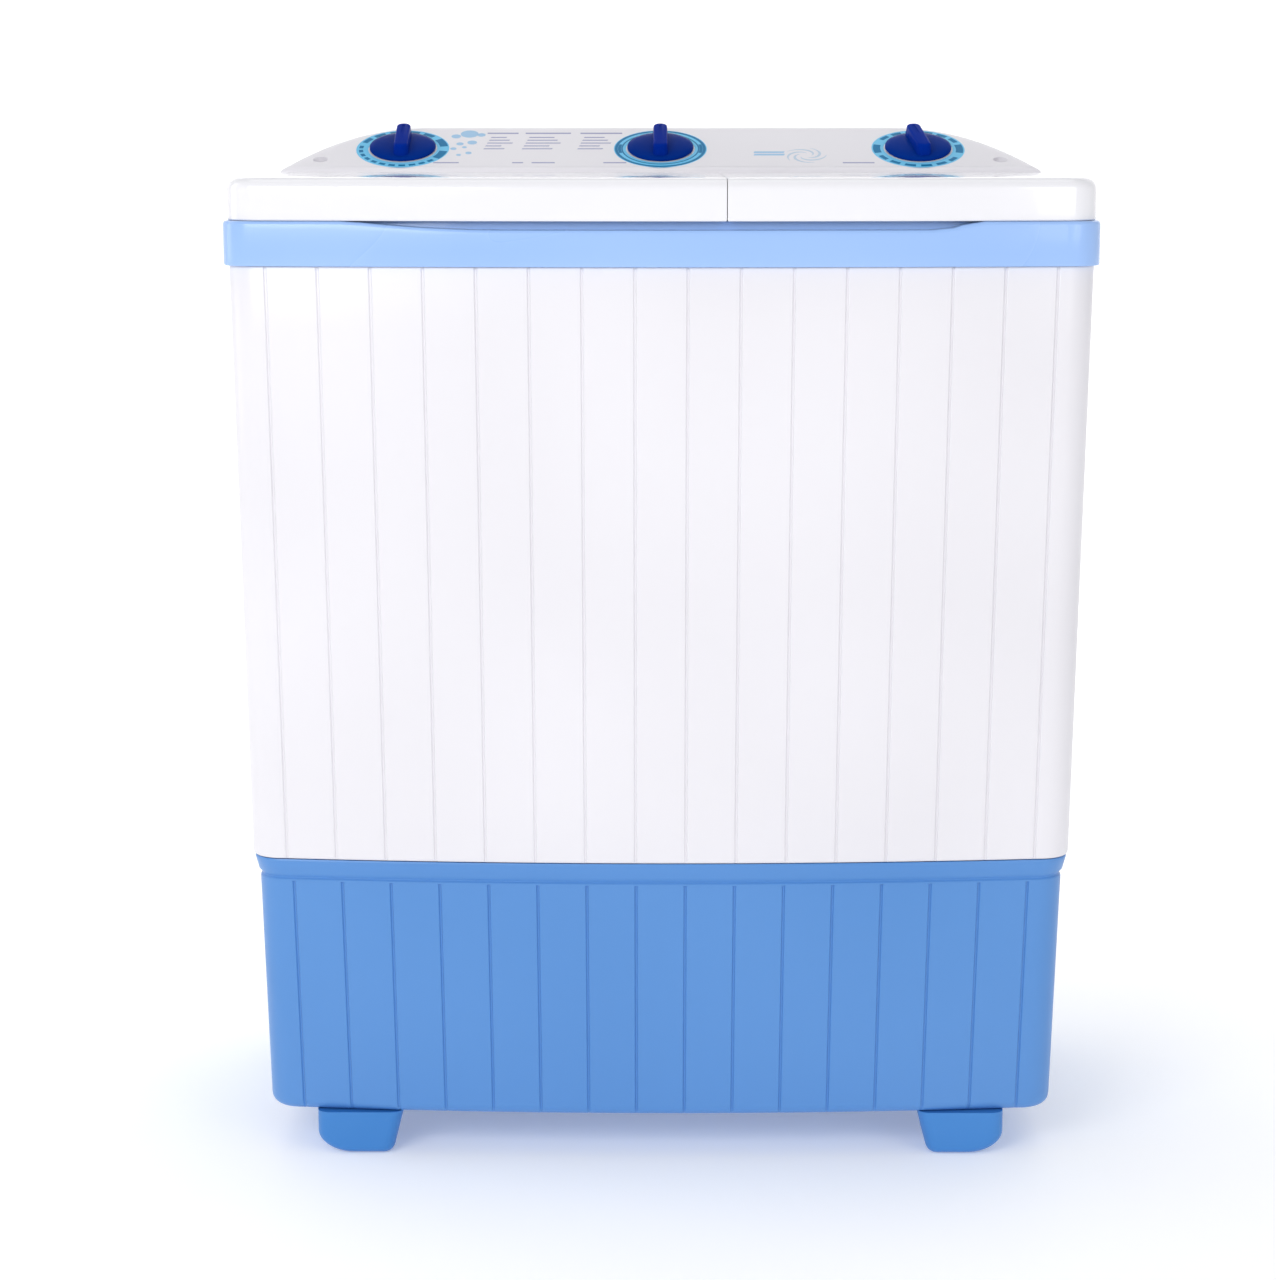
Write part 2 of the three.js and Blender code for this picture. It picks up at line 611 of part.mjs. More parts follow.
function spring(x, y, low, high) {
  const turns = 3;
  const stepsPerTurn = 8;
  const points = [...Array(turns * stepsPerTurn + 1).keys()].map((i) => {
    const angle = i / stepsPerTurn * Math.PI * 2;
    const height = low + 1.6 + (high - low - 3.2) * i / (turns * stepsPerTurn);
    return [x + 9 * Math.cos(angle), y + 9 * Math.sin(angle), height];
  });
  return tube(points, 1.5, 0, 4, turns * stepsPerTurn);
}

function drainValveBody() {
  const { x, y, r, bore } = DRAIN;
  const high = WASH.floor - 4 - GAP;
  const outletZ = 284;
  const cup = turned(x, y, [[0, 264], [r, 264], [r, high], [bore, high], [bore, 268], [0, 268]]);
  const outlet = join(cup, barY(x, outletZ, 13, y + r - 4, y + r + 20));
  return cut(outlet, barY(x, outletZ, 10, y + 5, y + r + 25), post(x, y, bore, 268, high + 1, 24));
}

function drainPlunger() {
  return turned(DRAIN.x, DRAIN.y, [[0, 300], [15.5, 300], [15.5, 306], [3, 309], [3, 742], [0, 742]], 20);
}

function drainHose() {
  const { x } = DRAIN;
  const route = [[113.5, 284], [128, 283], [142, 268], [146, 240], [142, 190], [126, 140],
    [118, 108], [122, 88], [136, 80], [148.5, 80]];
  return tube(route.map(([y, z]) => [x, y, z]), 12, 9.5, 8, 18);
}

function rearFitting({ x, z, r }, bore, front, back, collar) {
  const body = join(barY(x, z, r, front, back, 20), barY(x, z, collar, 176.9, 180, 20));
  return cut(body, barY(x, z, bore, front - 1, back + 1));
}

function brakeLever() {
  const arm = box(BRAKE.x - 4, BRAKE.x + 4, -96, 8, 236, 244);
  const shoe = box(BRAKE.x + 3, BRAKE.x + 12.8, -73, -51, 228, 258);
  return cut(join(arm, shoe), post(BRAKE.x, 0, 3.3, 220, 260, 16));
}

function brakePost() {
  return turned(BRAKE.x, 0, [[0, BASE_FLOOR], [5, BASE_FLOOR], [5, 235.5], [3, 235.5], [3, 249],
    [0, 249]], 16);
}

function brakeCable() {
  const route = [[BRAKE.x, -98.5, 240], [104, -108, 246], [76, -108, 270], [54, -92, 320],
    [48, -62, 420], [48, -40, 600], [48, 0, TUB_TOP - 4]];
  return tube(route, 2, 0, 6, 16);
}

function bellowsSeal() {
  return turned(SPIN.x, SPIN.y, [[16.4, 312], [24, 306], [32, 314], [41.6, 326.3], [41.6, 329.6],
    [31, 319], [24, 311], [16.4, 317], [16.4, 312]], 24);
}

// ---------- assembly ----------
place('base', base(), BASE_BLUE);
for (const [side, x] of Object.entries(FEET_X)) {
  for (const [end, y] of Object.entries(FEET_Y)) {
    place(`foot_${end}_${side}`, foot(), FOOT_BLUE).position.set(x, y, 0);
  }
}
place('cabinet', cabinet(), WHITE);
place('rear_service_panel', servicePanel(), WHITE);
panelScrewSpots().forEach((spot, i) => place(`panel_screw_${i + 1}`, panelScrew(spot), ZINC));
place('top_band', topBand(), BAND_BLUE);
place('top_deck', topDeck(), WHITE);
place('wash_lid', lid(-LID_SIDE, SEAM_X - GAP, -1), LID_WHITE);
place('spin_lid', lid(SEAM_X + GAP, LID_SIDE, 1), LID_WHITE);
for (const [side, [left, right]] of [['wash', hingeLugs().slice(0, 2)], ['spin', hingeLugs().slice(2)]]) {
  place(`${side}_lid_hinge_rod`, barX(HINGE_Y, HINGE_Z, PIN_R, left - 15, right + 15), STEEL);
}

place('control_console', controlConsole(), WHITE);
place('fascia_panel', fasciaPanel(), WHITE, fasciaGroup);
CONTROLS.forEach((control, i) => {
  place(`${control}_body`, timerBody(KNOB_X[i]), GREY_PLASTIC, fasciaGroup);
  place(`${control}_spindle`, post(0, 0, 3, -26, 10.5, 12), STEEL, fasciaGroup).position.x = KNOB_X[i];
  const handle = place(`${control}_knob`, knob(), KNOB_BLUE, fasciaGroup);
  handle.position.x = KNOB_X[i];
  handle.rotation.z = KNOB_TURN[i];
});

place('wash_tub', washTub(), TUB_WHITE);
place('pulsator', pulsator(), KNOB_BLUE);
place('pulsator_screw', pulsatorScrew(), STEEL);
place('pulsator_shaft', post(WASH.x, WASH.y, SHAFT_R, 200, 346.5), STEEL);
place('wash_gearbox', gearbox(), ZINC);
place('wash_pulley', groovedPulley(WASH.x, WASH.y, 8.3, WASH_PULLEY_R, PULLEY_Z,
  PULLEY_Z + PULLEY_H, 36), GREY_PLASTIC);
place('drive_belt', driveBelt(), BLACK_RUBBER);
place('motor_pulley', groovedPulley(WASH_MOTOR.x, WASH_MOTOR.y, 6.3, MOTOR_PULLEY_R, PULLEY_Z,
  PULLEY_Z + PULLEY_H, 16), GREY_PLASTIC);
place('wash_motor', motor(WASH_MOTOR.x, WASH_MOTOR.y, WASH_MOTOR.r, WASH_MOTOR.low,
  WASH_MOTOR.high, 6.4), MOTOR_GREY);
place('wash_motor_shaft', post(WASH_MOTOR.x, WASH_MOTOR.y, 6, 90, 224, 16), STEEL);
place('wash_motor_bracket', washMotorBracket(), ZINC);
place('lint_filter', box(LINT.left, LINT.right, LINT.front, LINT.back, LINT.low, LINT.high), FOOT_BLUE);

place('spin_tub', spinTub(), TUB_WHITE);
place('spin_basket', basket(), STEEL);
place('spin_press_plate', pressPlate(), FOOT_BLUE);
place('spin_shaft', post(SPIN.x, SPIN.y, 7, 90, 387), STEEL);
place('spin_bearing', ringPiece(SPIN.x, SPIN.y, 7.4, 16, 296, 324), ZINC);
place('bellows_seal', bellowsSeal(), BLACK_RUBBER);
place('brake_drum', ringPiece(SPIN.x, SPIN.y, 7.3, BRAKE.drumR, BRAKE.drumLow,
  BRAKE.drumHigh, 28), ZINC);
place('brake_lever', brakeLever(), ZINC);
place('brake_post', brakePost(), STEEL);
place('brake_cable', brakeCable(), BLACK_RUBBER);
place('spin_motor', spinMotor(), MOTOR_GREY);
[90, 210, 330].forEach((degrees, i) => {
  const angle = THREE.MathUtils.degToRad(degrees);
  const x = SPIN.x + SPIN_MOTOR.springCircle * Math.cos(angle);
  const y = SPIN.y + SPIN_MOTOR.springCircle * Math.sin(angle);
  place(`motor_spring_${i + 1}`, spring(x, y, BASE_FLOOR + 0.3, SPIN_MOTOR.low - 2.6), STEEL);
});

place('drain_valve_body', drainValveBody(), GREY_PLASTIC);
place('drain_plunger', drainPlunger(), GREY_PLASTIC);
place('drain_hose', drainHose(), BLACK_RUBBER);
place('drain_spigot', rearFitting(SPIGOT, SPIGOT.bore, 150, 198.5, 18), GREY_PLASTIC);
place('cord_gland', rearFitting(GLAND, 4, 162, 192, 13), BLACK_RUBBER);
place('motor_capacitor', post(CAPACITOR.x, CAPACITOR.y, CAPACITOR.r, BASE_FLOOR, CAPACITOR.high), MOTOR_GREY);

export default washer;
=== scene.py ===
"""Looks for the twin tub washer: a ribbed white cabinet on a blue base, two lids and a sloped console."""
import json
import math

import bmesh
import bpy
from mathutils import Matrix, Vector


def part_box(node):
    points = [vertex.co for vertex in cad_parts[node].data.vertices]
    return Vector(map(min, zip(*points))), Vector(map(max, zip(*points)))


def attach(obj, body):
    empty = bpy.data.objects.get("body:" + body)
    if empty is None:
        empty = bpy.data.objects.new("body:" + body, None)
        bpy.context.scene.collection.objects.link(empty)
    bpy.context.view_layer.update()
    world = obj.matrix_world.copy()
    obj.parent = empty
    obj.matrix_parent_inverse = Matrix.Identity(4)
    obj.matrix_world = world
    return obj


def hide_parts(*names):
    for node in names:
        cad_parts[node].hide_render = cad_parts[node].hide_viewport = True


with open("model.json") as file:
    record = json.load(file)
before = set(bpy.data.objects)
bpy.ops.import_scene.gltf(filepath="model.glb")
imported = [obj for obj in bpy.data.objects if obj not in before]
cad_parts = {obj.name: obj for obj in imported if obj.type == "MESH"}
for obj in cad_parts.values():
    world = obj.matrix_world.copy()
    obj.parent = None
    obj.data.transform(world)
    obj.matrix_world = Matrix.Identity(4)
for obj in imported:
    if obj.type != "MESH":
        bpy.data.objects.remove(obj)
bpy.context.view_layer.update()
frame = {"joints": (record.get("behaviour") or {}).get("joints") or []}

MM = 0.001

# ---------- places taken from the frame, in millimetres ----------


def box(node):
    low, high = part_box(node)
    return [v / MM for v in low], [v / MM for v in high]


def centre(node):
    low, high = box(node)
    return [(a + b) / 2 for a, b in zip(low, high)]


(_, BAND_FRONT, BAND_LOW), (HALF_W, HALF_D, BAND_HIGH) = box("top_band")
(_, _, BASE_LOW), (_, _, BASE_HIGH) = box("base")
(_, _, CABINET_LOW), (_, _, CABINET_HIGH) = box("cabinet")
(LID_LEFT, LID_FRONT, LID_LOW), (SEAM_LEFT, LID_REAR, LID_TOP) = box("wash_lid")
(SEAM_RIGHT, _, _), (LID_RIGHT, _, _) = box("spin_lid")
(_, CONSOLE_FRONT, CONSOLE_LOW), (CONSOLE_HALF, CONSOLE_BACK, CONSOLE_TOP) = box("control_console")
JOINTS = {joint["name"]: joint for joint in frame["joints"]}
CONTROLS = ("wash_timer", "selector", "spin_timer")
KNOB_AT = {name: Vector(JOINTS[f"{name}_turn"]["pos_m"]) / MM for name in CONTROLS}
HINGE_Y, HINGE_Z = (v / MM for v in JOINTS["wash_lid_hinge"]["pos_m"][1:])

# ---------- shape of the casing, in millimetres ----------
BOW = 20.0
CORNER = 26.0
LIP_LOW = 225.0
# Half width, reach to the front and reach to the back at each level.
BASE_FOOT_SIZE = (309, 176, 174)
BASE_LIP_SIZE = (314, 182, 181)
LIP_TOP_SIZE = (318, 186, 190)
CABINET_LOW_SIZE = (318.7, 187, 195)
CABINET_HIGH_SIZE = (326.3, 196, 195)
GROOVE_COUNT = 16
GROOVE_PITCH = 40.0
SIDE_GROOVES = 8
SIDE_GROOVE_SHIFT = 5
# Across one groove: distance from its middle, and depth.
GROOVE_SECTION = ((-3.2, 0.0), (-1.7, 0.0), (-1.2, 0.3), (-0.6, 1.5),
                  (0.6, 1.5), (1.2, 0.3), (1.7, 0.0), (3.2, 0.0))
RECESS_LEFT, RECESS_RIGHT = -235.0, 237.0
RECESS_RISE, RECESS_FALL = 120, 30
RECESS_MARGIN = 10
RECESS_DEPTH = 6.0
SERVICE_EDGE = 12
SPIGOT_HOLE, GLAND_HOLE = 14.3, 9.3
AIR_SLOT_X = (-60, 0, 60)
AIR_SLOT_HALF = 20
FASCIA_TILT = math.radians(22.5)

# ---------- mesh helpers ----------

WELD_DISTANCE = 0.00001


def new_object(name, verts, faces, weld=False):
    """A mesh object from millimetre points, with its faces turned outward."""
    mesh = bpy.data.meshes.new(name)
    mesh.from_pydata([[c * MM for c in v] for v in verts], [], faces)
    tidy = bmesh.new()
    tidy.from_mesh(mesh)
    if weld:
        bmesh.ops.remove_doubles(tidy, verts=tidy.verts, dist=WELD_DISTANCE)
    bmesh.ops.recalc_face_normals(tidy, faces=tidy.faces)
    tidy.to_mesh(mesh)
    tidy.free()
    made = bpy.data.objects.new(name, mesh)
    bpy.context.scene.collection.objects.link(made)
    return made


def piece_from(name, verts, faces, body, material, smooth=35):
    """A finished piece from millimetre points, riding on a body."""
    piece = new_object(name, verts, faces, weld=True)
    finish_piece(piece, body, material, smooth)
    return piece


def finish_piece(piece, body, material, smooth):
    piece.data.materials.clear()
    piece.data.materials.append(MATERIALS[material])
    shade(piece, smooth)
    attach(piece, body)


def shade(piece, angle):
    for polygon in piece.data.polygons:
        polygon.use_smooth = True
    piece.data.set_sharp_from_angle(angle=math.radians(angle))


def apply_modifiers(piece):
    graph = bpy.context.evaluated_depsgraph_get()
    baked = bpy.data.meshes.new_from_object(piece.evaluated_get(graph))
    piece.modifiers.clear()
    piece.data = baked


def loft(rings, cap_first=False, cap_last=False, close=False):
    """Quads between rings of equally many points, with flat ends or joined end to start."""
    count = len(rings[0])
    verts = [point for ring in rings for point in ring]
    faces = []
    pairs = list(zip(range(len(rings) - 1), range(1, len(rings))))
    if close:
        pairs.append((len(rings) - 1, 0))
    for a, b in pairs:
        for i in range(count):
            j = (i + 1) % count
            faces.append((a * count + i, a * count + j, b * count + j, b * count + i))
    if cap_first:
        faces.append(tuple(range(count)))
    if cap_last:
        faces.append(tuple((len(rings) - 1) * count + i for i in range(count)))
    return verts, faces


def turned(profile, x, y, sides=64):
    """A closed turned shape round an upright axis, from (radius, height) pairs on a closed loop."""
    return loft([circle(x, y, r, z, sides) for r, z in profile], close=True)


def circle(x, y, radius, z, sides):
    """Points round an upright axis, at one height."""
    angles = [2 * math.pi * i / sides for i in range(sides)]
    return [(x + radius * math.cos(a), y + radius * math.sin(a), z) for a in angles]


def rounded(points, radius, steps=5):
    """A closed profile with each of its corners rounded."""
    result = []
    count = len(points)
    for i, point in enumerate(points):
        here = Vector(point)
        before = Vector(points[i - 1]) - here
        after = Vector(points[(i + 1) % count]) - here
        reach = min(radius, before.length * 0.45, after.length * 0.45)
        start = here + before.normalized() * reach
        end = here + after.normalized() * reach
        for k in range(steps + 1):
            t = k / steps
            result.append(tuple(start * (1 - t) ** 2 + here * 2 * t * (1 - t) + end * t ** 2))
    return result


def cylinder(x, y, z, radius, length, axis="Z", sides=32):
    """A cutter or pin in millimetres, centred on a point."""
    verts, faces = [], []
    for end in (-0.5, 0.5):
        for i in range(sides):
            a = 2 * math.pi * i / sides
            u, v, w = radius * math.cos(a), radius * math.sin(a), end * length
            offset = {"Z": (u, v, w), "X": (w, u, v), "Y": (u, w, v)}[axis]
            verts.append((x + offset[0], y + offset[1], z + offset[2]))
    for i in range(sides):
        j = (i + 1) % sides
        faces.append((i, j, sides + j, sides + i))
    faces.append(tuple(range(sides)))
    faces.append(tuple(range(sides, 2 * sides)))
    return verts, faces


def block(x0, x1, y0, y1, z0, z1):
    corners = [(x, y, z) for z in (z0, z1) for x, y in ((x0, y0), (x1, y0), (x1, y1), (x0, y1))]
    faces = [(0, 1, 2, 3), (4, 5, 6, 7), (0, 1, 5, 4), (1, 2, 6, 5), (2, 3, 7, 6), (3, 0, 4, 7)]
    return corners, faces


def merged(*shapes):
    """Several closed shapes as one list of points and faces."""
    verts, faces = [], []
    for shape_verts, shape_faces in shapes:
        start = len(verts)
        verts += shape_verts
        faces += [tuple(start + i for i in face) for face in shape_faces]
    return verts, faces


def carve(piece, shapes, smooth):
    """Cuts each closed shape out of a piece."""
    for verts, faces in shapes:
        tool = new_object("tool", verts, faces)
        cut = piece.modifiers.new("cut", "BOOLEAN")
        cut.operation = "DIFFERENCE"
        cut.solver = "EXACT"
        cut.object = tool
        apply_modifiers(piece)
        mesh = tool.data
        bpy.data.objects.remove(tool)
        bpy.data.meshes.remove(mesh)
    shade(piece, smooth)


def placed(verts, matrix):
    return [tuple(matrix @ Vector(v)) for v in verts]


# ---------- materials ----------


def new_material(name):
    material = bpy.data.materials.new(name)
    material.use_nodes = True
    nodes = material.node_tree.nodes
    links = material.node_tree.links
    nodes.clear()
    output = nodes.new("ShaderNodeOutputMaterial")
    shader = nodes.new("ShaderNodeBsdfPrincipled")
    links.new(shader.outputs["BSDF"], output.inputs["Surface"])
    place = nodes.new("ShaderNodeTexCoord")
    return material, nodes, links, shader, place.outputs["Object"]


def noise(nodes, links, where, scale, detail=3.0, stretch=None):
    texture = nodes.new("ShaderNodeTexNoise")
    texture.inputs["Scale"].default_value = scale
    texture.inputs["Detail"].default_value = detail
    if stretch:
        mapping = nodes.new("ShaderNodeMapping")
        mapping.inputs["Scale"].default_value = stretch
        links.new(where, mapping.inputs["Vector"])
        where = mapping.outputs["Vector"]
    links.new(where, texture.inputs["Vector"])
    return texture.outputs["Fac"]


def spread(nodes, links, factor, low, high):
    """Maps a noise of about 0.25 to 0.75 on to a range of numbers."""
    ramp = nodes.new("ShaderNodeMapRange")
    ramp.inputs["From Min"].default_value = 0.25
    ramp.inputs["From Max"].default_value = 0.75
    ramp.inputs["To Min"].default_value = low
    ramp.inputs["To Max"].default_value = high
    links.new(factor, ramp.inputs["Value"])
    return ramp.outputs["Result"]


def tint(nodes, links, factor, dark, light):
    mix = nodes.new("ShaderNodeMix")
    mix.data_type = "RGBA"
    mix.inputs["A"].default_value = (*dark, 1)
    mix.inputs["B"].default_value = (*light, 1)
    links.new(factor, mix.inputs["Factor"])
    return mix.outputs["Result"]


def bump(nodes, links, shader, height, strength, distance):
    bumps = nodes.new("ShaderNodeBump")
    bumps.inputs["Strength"].default_value = strength
    bumps.inputs["Distance"].default_value = distance
    links.new(height, bumps.inputs["Height"])
    links.new(bumps.outputs["Normal"], shader.inputs["Normal"])


def moulded(name, dark, light, rough, grain=0.12, coat=0.0, shine=0.5, glint=(1, 1, 1)):
    """Moulded plastic: faint clouding, a fine moulded grain and slightly uneven gloss."""
    material, nodes, links, shader, where = new_material(name)
    clouds = spread(nodes, links, noise(nodes, links, where, 6.0, 0.0), 0, 1)
    links.new(tint(nodes, links, clouds, dark, light), shader.inputs["Base Color"])
    smears = noise(nodes, links, where, 9.0, 0.0)
    links.new(spread(nodes, links, smears, rough[0], rough[1]), shader.inputs["Roughness"])
    bump(nodes, links, shader, noise(nodes, links, where, 900.0, 1.0), grain, 0.00004)
    shader.inputs["Specular IOR Level"].default_value = shine
    shader.inputs["Specular Tint"].default_value = (*glint, 1)
    shader.inputs["Coat Weight"].default_value = coat
    shader.inputs["Coat Roughness"].default_value = 0.04
    return material


def metal(name, dark, light, rough, stretch, grain=0.2, metallic=1.0):
    """Metal whose brushing or casting marks run along a stretched noise."""
    material, nodes, links, shader, where = new_material(name)
    marks = noise(nodes, links, where, 260.0, 4.0, stretch)
    stains = spread(nodes, links, noise(nodes, links, where, 11.0), 0, 1)
    links.new(tint(nodes, links, stains, dark, light), shader.inputs["Base Color"])
    links.new(spread(nodes, links, marks, rough[0], rough[1]), shader.inputs["Roughness"])
    bump(nodes, links, shader, marks, grain, 0.00008)
    shader.inputs["Metallic"].default_value = metallic
    return material


INK_ROUGH = (0.35, 0.45)
MATERIALS = {
    "white": moulded("white_plastic", (0.795, 0.78, 0.815), (0.83, 0.815, 0.85), (0.31, 0.38)),
    "lid": moulded("lid_plastic", (0.84, 0.835, 0.865), (0.87, 0.865, 0.895), (0.13, 0.18),
                   grain=0.05, coat=0.7),
    # Band colour: the base's blue plastic lightened by a painted highlight, an even sheen of white added to
    # both shades.
    "band": moulded("band_plastic_painted_sheen", (0.31, 0.50, 0.88), (0.34, 0.53, 0.91), (0.25, 0.31),
                    grain=0.08, coat=0.25),
    "base": moulded("base_plastic", (0.083, 0.258, 0.615), (0.095, 0.278, 0.645), (0.32, 0.40)),
    "foot": moulded("foot_plastic", (0.035, 0.21, 0.57), (0.05, 0.24, 0.62), (0.32, 0.45)),
    "knob": moulded("knob_plastic", (0.001, 0.024, 0.215), (0.002, 0.033, 0.265), (0.14, 0.22),
                    grain=0.05, shine=0.01, glint=(0.03, 0.22, 0.9)),
    "knob_bar": moulded("knob_bar_plastic", (0.001, 0.020, 0.26), (0.002, 0.030, 0.31), (0.16, 0.24),
                        grain=0.05, shine=0.01, glint=(0.03, 0.16, 0.9)),
    "tub": moulded("tub_plastic_shell", (0.72, 0.76, 0.80), (0.78, 0.81, 0.85), (0.22, 0.34),
                   grain=0.06),
    "grey": moulded("grey_plastic_shell", (0.20, 0.22, 0.25), (0.25, 0.27, 0.30), (0.40, 0.55)),
    "rubber": moulded("rubber_skin", (0.012, 0.012, 0.013), (0.022, 0.022, 0.024), (0.62, 0.80),
                      grain=0.3),
    "steel": metal("brushed_steel_skin", (0.58, 0.59, 0.61), (0.68, 0.69, 0.71), (0.26, 0.34),
                   stretch=(1, 1, 0.1)),
    "zinc": metal("zinc_skin", (0.40, 0.42, 0.44), (0.52, 0.54, 0.56), (0.34, 0.52),
                  stretch=(1, 1, 1)),
    "motor": metal("motor_skin", (0.085, 0.09, 0.10), (0.12, 0.125, 0.135), (0.40, 0.55),
                   stretch=(1, 1, 0.1), grain=0.3, metallic=0.6),
    "ink_teal": moulded("ink_teal", (0.004, 0.17, 0.37), (0.008, 0.20, 0.42), INK_ROUGH,
                        grain=0.03, shine=0.1),
    "ink_halo": moulded("ink_halo", (0.16, 0.56, 0.84), (0.20, 0.60, 0.87), INK_ROUGH,
                        grain=0.03, shine=0.1),
    "ink_blue": moulded("ink_blue", (0.34, 0.56, 0.78), (0.40, 0.61, 0.82), INK_ROUGH,
                        grain=0.03, shine=0.15),
    "ink_swirl": moulded("ink_swirl", (0.52, 0.63, 0.75), (0.58, 0.68, 0.79), INK_ROUGH,
                        grain=0.03, shine=0.15),
    "ink_grey": moulded("ink_grey", (0.30, 0.31, 0.50), (0.36, 0.37, 0.56), INK_ROUGH,
                        grain=0.03, shine=0.15),
}

# ---------- camera, floor and light ----------

CAMERA_AT = (-0.0093, -2.4347, 0.806)
CAMERA_PITCH = math.radians(9.83)
CAMERA_YAW = math.radians(0.21)
SENSOR = 36.0
LENS = 84.375


def make_camera():
    data = bpy.data.cameras.new("camera")
    data.sensor_width = SENSOR
    data.lens = LENS
    camera = bpy.data.objects.new("camera", data)
    camera.location = CAMERA_AT
    camera.rotation_euler = (math.pi / 2 - CAMERA_PITCH, 0, CAMERA_YAW)
    bpy.context.scene.collection.objects.link(camera)
    bpy.context.scene.camera = camera


def make_stage():
    """A pale floor that curves up into a wall well behind the machine."""
    material, nodes, links, shader, where = new_material("stage")
    shade_of = spread(nodes, links, noise(nodes, links, where, 0.8), 0, 1)
    links.new(tint(nodes, links, shade_of, (0.93, 0.93, 0.93), (0.95, 0.95, 0.95)),
              shader.inputs["Base Color"])
    shader.inputs["Roughness"].default_value = 0.75
    shader.inputs["Emission Color"].default_value = (1, 1, 1, 1)
    shader.inputs["Emission Strength"].default_value = 0.22
    side, front, bend_at, bend, top = 7000, -6000, 3000, 1500, 6000
    profile = [(front, 0), (bend_at, 0)]
    for i in range(1, 13):
        a = math.pi / 2 * i / 12
        profile.append((bend_at + bend * math.sin(a), bend * (1 - math.cos(a))))
    profile.append((bend_at + bend, top))
    verts = [(x, y, z) for y, z in profile for x in (-side, side)]
    faces = [(2 * i, 2 * i + 1, 2 * i + 3, 2 * i + 2) for i in range(len(profile) - 1)]
    mesh = bpy.data.meshes.new("stage_floor")
    mesh.from_pydata([[c * MM for c in v] for v in verts], [], faces)
    floor = bpy.data.objects.new("stage_floor", mesh)
    bpy.context.scene.collection.objects.link(floor)
    mesh.materials.append(material)
    for polygon in mesh.polygons:
        polygon.use_smooth = True


def make_light(name, at, target, size, power):
    data = bpy.data.lights.new(name, "AREA")
    data.shape = "RECTANGLE"
    data.size, data.size_y = size
    data.energy = power
    light = bpy.data.objects.new(name, data)
    light.location = at
    aim = Vector(target) - Vector(at)
    light.rotation_euler = aim.to_track_quat("-Z", "Y").to_euler()
    bpy.context.scene.collection.objects.link(light)


def make_lights():
    world = bpy.data.worlds.new("studio")
    world.use_nodes = True
    nodes = world.node_tree.nodes
    links = world.node_tree.links
    background = nodes["Background"]
    background.inputs["Color"].default_value = (0.97, 0.975, 1.0, 1)
    heading = nodes.new("ShaderNodeTexCoord")
    parts = nodes.new("ShaderNodeSeparateXYZ")
    glow = nodes.new("ShaderNodeMapRange")
    glow.inputs["From Min"].default_value = 0.0
    glow.inputs["From Max"].default_value = 0.6
    glow.inputs["To Min"].default_value = 0.8
    glow.inputs["To Max"].default_value = 0.45
    links.new(heading.outputs["Generated"], parts.inputs["Vector"])
    links.new(parts.outputs["Z"], glow.inputs["Value"])
    links.new(glow.outputs["Result"], background.inputs["Strength"])
    bpy.context.scene.world = world
    middle = (0, 0, 0.45)
    make_light("key", (-1.2, -2.3, 1.5), (0, 0, 0.95), (1.4, 1.0), 24)
    make_light("fill", (1.6, -2.3, 1.3), (0, 0, 0.9), (1.2, 1.2), 10)
    make_light("top", (0.0, 0.2, 3.0), middle, (2.4, 1.6), 9)
    make_light("left_edge", (-2.2, 0.3, 1.1), middle, (0.8, 1.8), 6)
    make_light("backdrop", (0.0, 1.6, 2.8), (0, 4.0, 0.9), (4.5, 1.0), 60)


bpy.context.scene.view_settings.view_transform = "Standard"
make_camera()
make_stage()
make_lights()

# ---------- casing ----------


def front_y(x):
    return BAND_FRONT + BOW * (x / HALF_W) ** 2


def outline():
    """Points round the casing at full width: x, y, outward normal x and y, groove depth."""
    right = []
    first = (GROOVE_COUNT // 2 - 0.5) * GROOVE_PITCH
    centres = [first - GROOVE_PITCH * i for i in range(GROOVE_COUNT // 2)][::-1]
    for centre in centres:
        samples = [(centre - GROOVE_PITCH / 2, 0.0)]
        samples += [(centre + dx, depth) for dx, depth in GROOVE_SECTION]
        for x, depth in samples:
            slope = 2 * BOW * x / HALF_W ** 2
            normal = Vector((slope, -1)).normalized()
            right.append((x, front_y(x), normal.x, normal.y, depth))
    end_slope = 2 * BOW * (HALF_W - CORNER) / HALF_W ** 2
    start = -math.pi / 2 + math.atan(end_slope)
    middle = front_y(HALF_W - CORNER) + CORNER * math.cos(math.atan(end_slope))
    right += corner_arc(HALF_W - CORNER, middle, start, 0)
    for i in range(SIDE_GROOVES):
        y = (i - (SIDE_GROOVES - 1) / 2) * GROOVE_PITCH + SIDE_GROOVE_SHIFT
        right += [(HALF_W, y + dy, 1, 0, depth) for dy, depth in GROOVE_SECTION]
    right += corner_arc(HALF_W - CORNER, HALF_D - CORNER, 0, math.pi / 2)
    right += [(x, HALF_D, 0, 1, 0.0) for x in (200, 100, 0)]
    left = [(-x, y, -nx, ny, depth) for x, y, nx, ny, depth in right[1:-1]]
    return right + left[::-1]


def corner_arc(x, y, start, end, steps=12):
    angles = [start + (end - start) * i / steps for i in range(steps + 1)]
    return [(x + CORNER * math.cos(a), y + CORNER * math.sin(a), math.cos(a), math.sin(a), 0.0)
            for a in angles]


OUTLINE = outline()


def between(low, high, low_size, high_size, z):
    t = (z - low) / (high - low)
    return [a + (b - a) * t for a, b in zip(low_size, high_size)]


def casing_ring(z, size, inset=0.0, grooves=0.0):
    side, front, back = size
    ring = []
    for x, y, nx, ny, depth in OUTLINE:
        x = x - nx * (inset + depth * grooves)
        y = y - ny * (inset + depth * grooves)
        ring.append((x * side / HALF_W, y * (front if y < 0 else back) / HALF_D, z))
    return ring


